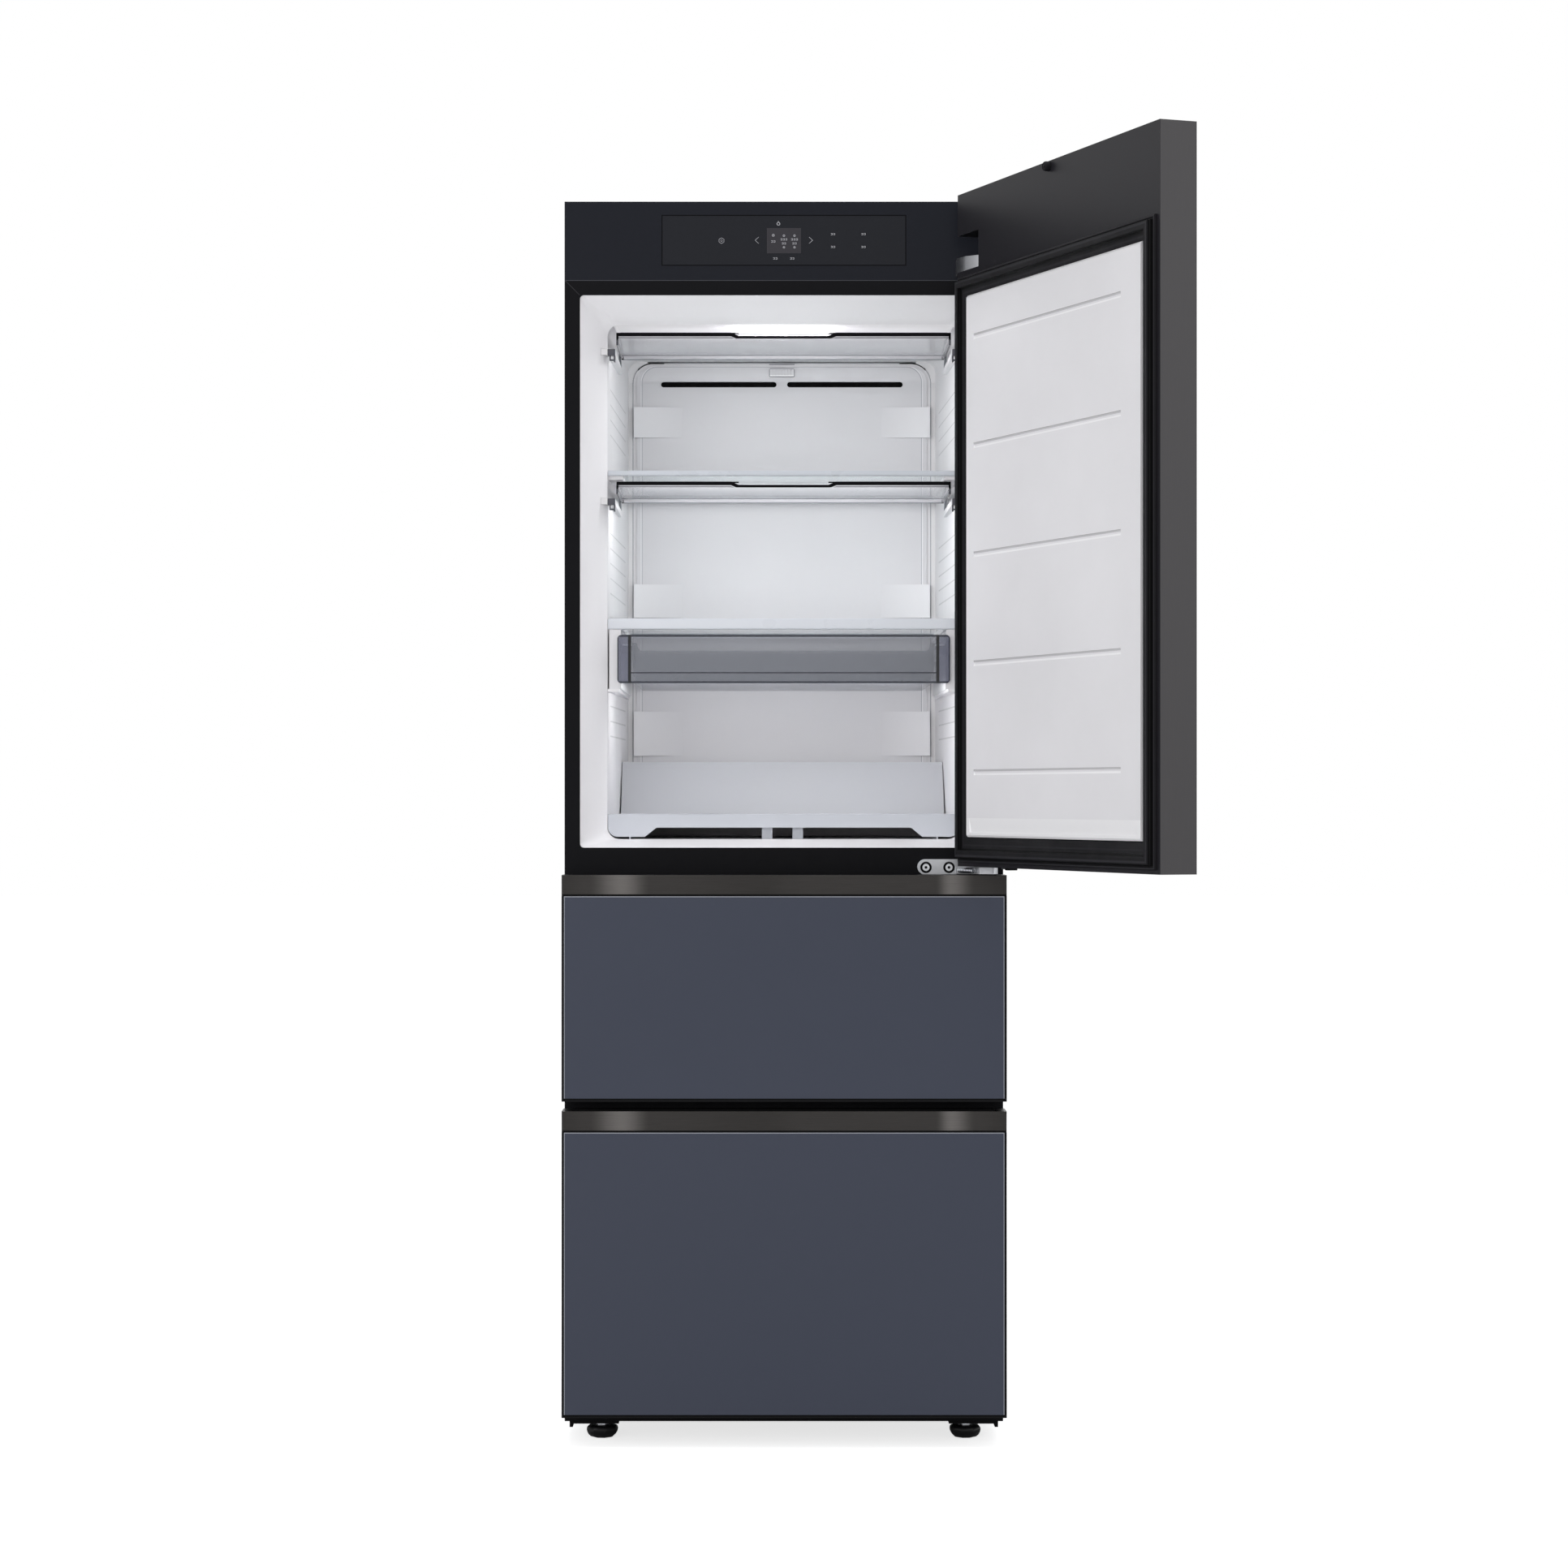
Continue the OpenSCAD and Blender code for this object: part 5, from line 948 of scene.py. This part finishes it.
def guard_rests():
    """Smoked brackets on the front ends of the guards' tracks."""
    mesh = bmesh.new()
    for side in (-1, 1):
        for pivot in GUARD_PIVOTS.values():
            top = pivot - 15.4
            for across, depths, heights, edge in REST_BLOCKS:
                x = on_side(side, *across)
                slab(mesh, (x[0], depths[0], top + heights[0]), (x[1], depths[1], top + heights[1]), edge)
    finished("guard_rests", mesh, moulded_plastic("smoked bracket plastic", (0.29, 0.29, 0.32), 0.2, 0.5),
             "cabinet")


# ---------------------------------------------------------------- middle hinge

def hinge_details():
    """Spring of the middle hinge, and the stop with its rubber cap under the door."""
    coil = bmesh.new()
    start, end = at(262, -40, 857.9), at(280, -61.5, 857.9)
    along = (end - start).normalized()
    side = along.orthogonal().normalized()
    wire_plane = along.cross(side).to_track_quat("Z", "Y").to_matrix().to_4x4()
    turns, coil_radius, wire_radius = 9, 3.5 * MM, 0.95 * MM
    for i in range(turns):
        centre = start + (end - start) * (i / (turns - 1))
        place = Matrix.Translation(centre + side * coil_radius) @ wire_plane
        wire = bmesh.ops.create_circle(coil, segments=8, radius=wire_radius, matrix=place)["verts"]
        bmesh.ops.spin(coil, geom=wire + edges_of(wire), cent=centre, axis=along, angle=math.tau, steps=20,
                       use_merge=True)
        bmesh.ops.remove_doubles(coil, verts=coil.verts, dist=DOUBLES)
    finished("hinge_spring", coil, brushed_metal("bright spring wire", (0.75, 0.76, 0.78), (4, 4, 4), 0.22),
             "cabinet")
    bar = bmesh.new()
    slab(bar, (248.0, -66, 860.6), (262.0, -53, 864.1), 0.5)
    slab(bar, (250.0, -61.5, 858.9), (256.0, -57.5, 861.2), 0.6)
    finished("door_stop", bar, SLOT_FINISHES["hinge_steel"], "door", door=True)
    cap = bmesh.new()
    slab(cap, (234.5, -67, 859.2), (248.2, -52, 864.2), 1.2)
    finished("door_stop_cap", cap, SLOT_FINISHES["rubber_black"], "door", door=True)


# ---------------------------------------------------------------- feet

FOOT_BOWL = [(0, 0.2), (13, 0.2), (17.5, 1.4), (21.2, 4.6), (23.4, 8.6), (24.2, 12.4), (23.8, 15.6),
             (22.0, 17.8), (18, 18.6), (9, 18.8), (0, 18.8)]
FOOT_THREAD = ([(0, 18)] + [point for i in range(14) for point in ((4.6, 19 + 2 * i), (5.2, 20 + 2 * i))]
               + [(4.6, 47), (0, 47.8)])


def feet():
    """Eight-sided foot knobs with bowl-shaped undersides, threaded spindles and plated nuts."""
    for side, name, turn in ((-1, "left", 14), (1, "right", 28)):
        centre = (side * 274, 42)
        on_floor = at(*centre, 0)
        knob = bmesh.new()
        turned(knob, FOOT_BOWL, on_floor, (0, 0, 1), 8)
        bmesh.ops.rotate(knob, verts=knob.verts, cent=on_floor,
                         matrix=Matrix.Rotation(math.radians(turn), 3, "Z"))
        turned(knob, FOOT_THREAD, on_floor, (0, 0, 1), 20)
        finished("foot_knob_" + name, knob, SLOT_FINISHES["foot_black"], "front_foot_" + name,
                 ["front_foot_" + name])
        nut = bmesh.new()
        prism(nut, 6, 10.8, (17.6, 22.4), centre, turn + 8, 0.7)
        plating = brushed_metal("plated nut " + name, (0.86, 0.87, 0.89), (4, 4, 4), 0.2)
        finished("foot_nut_" + name, nut, plating, "front_foot_" + name)


door_seal()
control_marks()
control_lines()
duct_surround()
guard_rests()
hinge_details()
feet()

for name, width in (("door_hinges", 0.7), ("bottom_tray", 0.6), ("upper_drawer_grip", 0.4),
                    ("lower_drawer_grip", 0.4), ("door_liner", 1.0), ("drawer_guides", 1.0),
                    ("front_frame", 0.4), ("control_box", 1.2), ("ceiling_lamp", 1.2)):
    soften(name, width)


# ---------------------------------------------------------------- studio

def pale_floor():
    """Wide matt floor. It looks white to the camera and keeps the soft shadow."""
    mesh = bmesh.new()
    bmesh.ops.create_grid(mesh, x_segments=1, y_segments=1, size=30)
    data = bpy.data.meshes.new("floor")
    mesh.to_mesh(data)
    mesh.free()
    floor = bpy.data.objects.new("floor", data)
    bpy.context.scene.collection.objects.link(floor)
    f = Finish("pale studio floor", (0.94, 0.94, 0.94), 0.9, specular=0.0)
    rays = f.nodes.new("ShaderNodeLightPath")
    f.feed("Emission Strength", f.maths("MULTIPLY", rays.outputs["Is Camera Ray"], 0.72))
    f.set("Emission Color", (1, 1, 1, 1))
    floor.data.materials.append(f.material)


def white_surroundings():
    """White to the eye and in reflections, a softer light for the rest."""
    world = bpy.data.worlds.new("studio")
    bpy.context.scene.world = world
    world.use_nodes = True
    nodes, links = world.node_tree.nodes, world.node_tree.links
    nodes.clear()

    def background(colour, strength):
        node = nodes.new("ShaderNodeBackground")
        node.inputs["Color"].default_value = (*colour, 1)
        node.inputs["Strength"].default_value = strength
        return node.outputs[0]

    def either(one, other):
        node = nodes.new("ShaderNodeMath")
        node.operation = "MAXIMUM"
        links.new(one, node.inputs[0])
        links.new(other, node.inputs[1])
        return node.outputs[0]

    rays = nodes.new("ShaderNodeLightPath").outputs
    looked_at = either(either(rays["Is Camera Ray"], rays["Is Glossy Ray"]), rays["Is Transmission Ray"])
    mix = nodes.new("ShaderNodeMixShader")
    links.new(looked_at, mix.inputs["Fac"])
    links.new(background((0.97, 0.98, 1.0), 0.42), mix.inputs[1])
    links.new(background((1, 1, 1), 1.0), mix.inputs[2])
    links.new(mix.outputs[0], nodes.new("ShaderNodeOutputWorld").inputs["Surface"])


def panel_light(name, place, aim, size, watts):
    data = bpy.data.lights.new(name, "AREA")
    data.shape = "RECTANGLE"
    data.size, data.size_y = size
    data.energy = watts
    lamp = bpy.data.objects.new(name, data)
    bpy.context.scene.collection.objects.link(lamp)
    lamp.location = place
    lamp.rotation_euler = (Vector(aim) - Vector(place)).to_track_quat("-Z", "Y").to_euler()
    return lamp


def studio_lights():
    """Softboxes round the refrigerator."""
    front = panel_light("front softbox", (-0.9, -6.6, 1.5), (0, -0.3, 1.0), (3.4, 2.6), 100)
    front.visible_glossy = False
    panel_light("left softbox", (-4.4, -4.2, 2.0), (0, -0.3, 1.0), (2.6, 2.8), 54)
    panel_light("right softbox", (4.0, -3.6, 2.2), (0, -0.3, 1.0), (2.4, 2.6), 24)
    panel_light("overhead softbox", (0.2, -1.5, 4.2), (0, 0, 0.8), (3.2, 2.4), 30)
    panel_light("back softbox", (0.6, 4.2, 2.8), (0, 0.3, 1.0), (3.0, 2.4), 60)


def cabinet_lights():
    """The cabinet's own lamp, and soft light into each of its bays."""
    panel_light("cabinet lamp light", (0, deep(82), 1.672), (0, deep(250), 1.2), (0.15, 0.02), 1.2)
    for name, height, watts in (("upper", 1.645, 0.28), ("middle", 1.42, 0.84), ("lower", 1.135, 0.85)):
        light = panel_light(name + " bay light", (0, deep(75), height), (0, deep(500), height - 0.2),
                            (0.44, 0.02), watts)
        light.visible_glossy = light.visible_camera = False


def photograph_camera():
    """The camera as fitted to the photograph: level, about 5.5 m in front of the cabinet."""
    data = bpy.data.cameras.new("camera")
    data.sensor_width = 36
    data.lens = 84.37
    data.shift_x, data.shift_y = 0.0147, 0.0085
    data.clip_end = 100
    camera = bpy.data.objects.new("camera", data)
    camera.location = (-0.0344, -5.8474, 0.9664)
    camera.rotation_euler = (math.radians(90), 0, 0)
    bpy.context.scene.collection.objects.link(camera)
    bpy.context.scene.camera = camera
    bpy.context.scene.view_settings.view_transform = "Standard"


pale_floor()
white_surroundings()
studio_lights()
cabinet_lights()
photograph_camera()
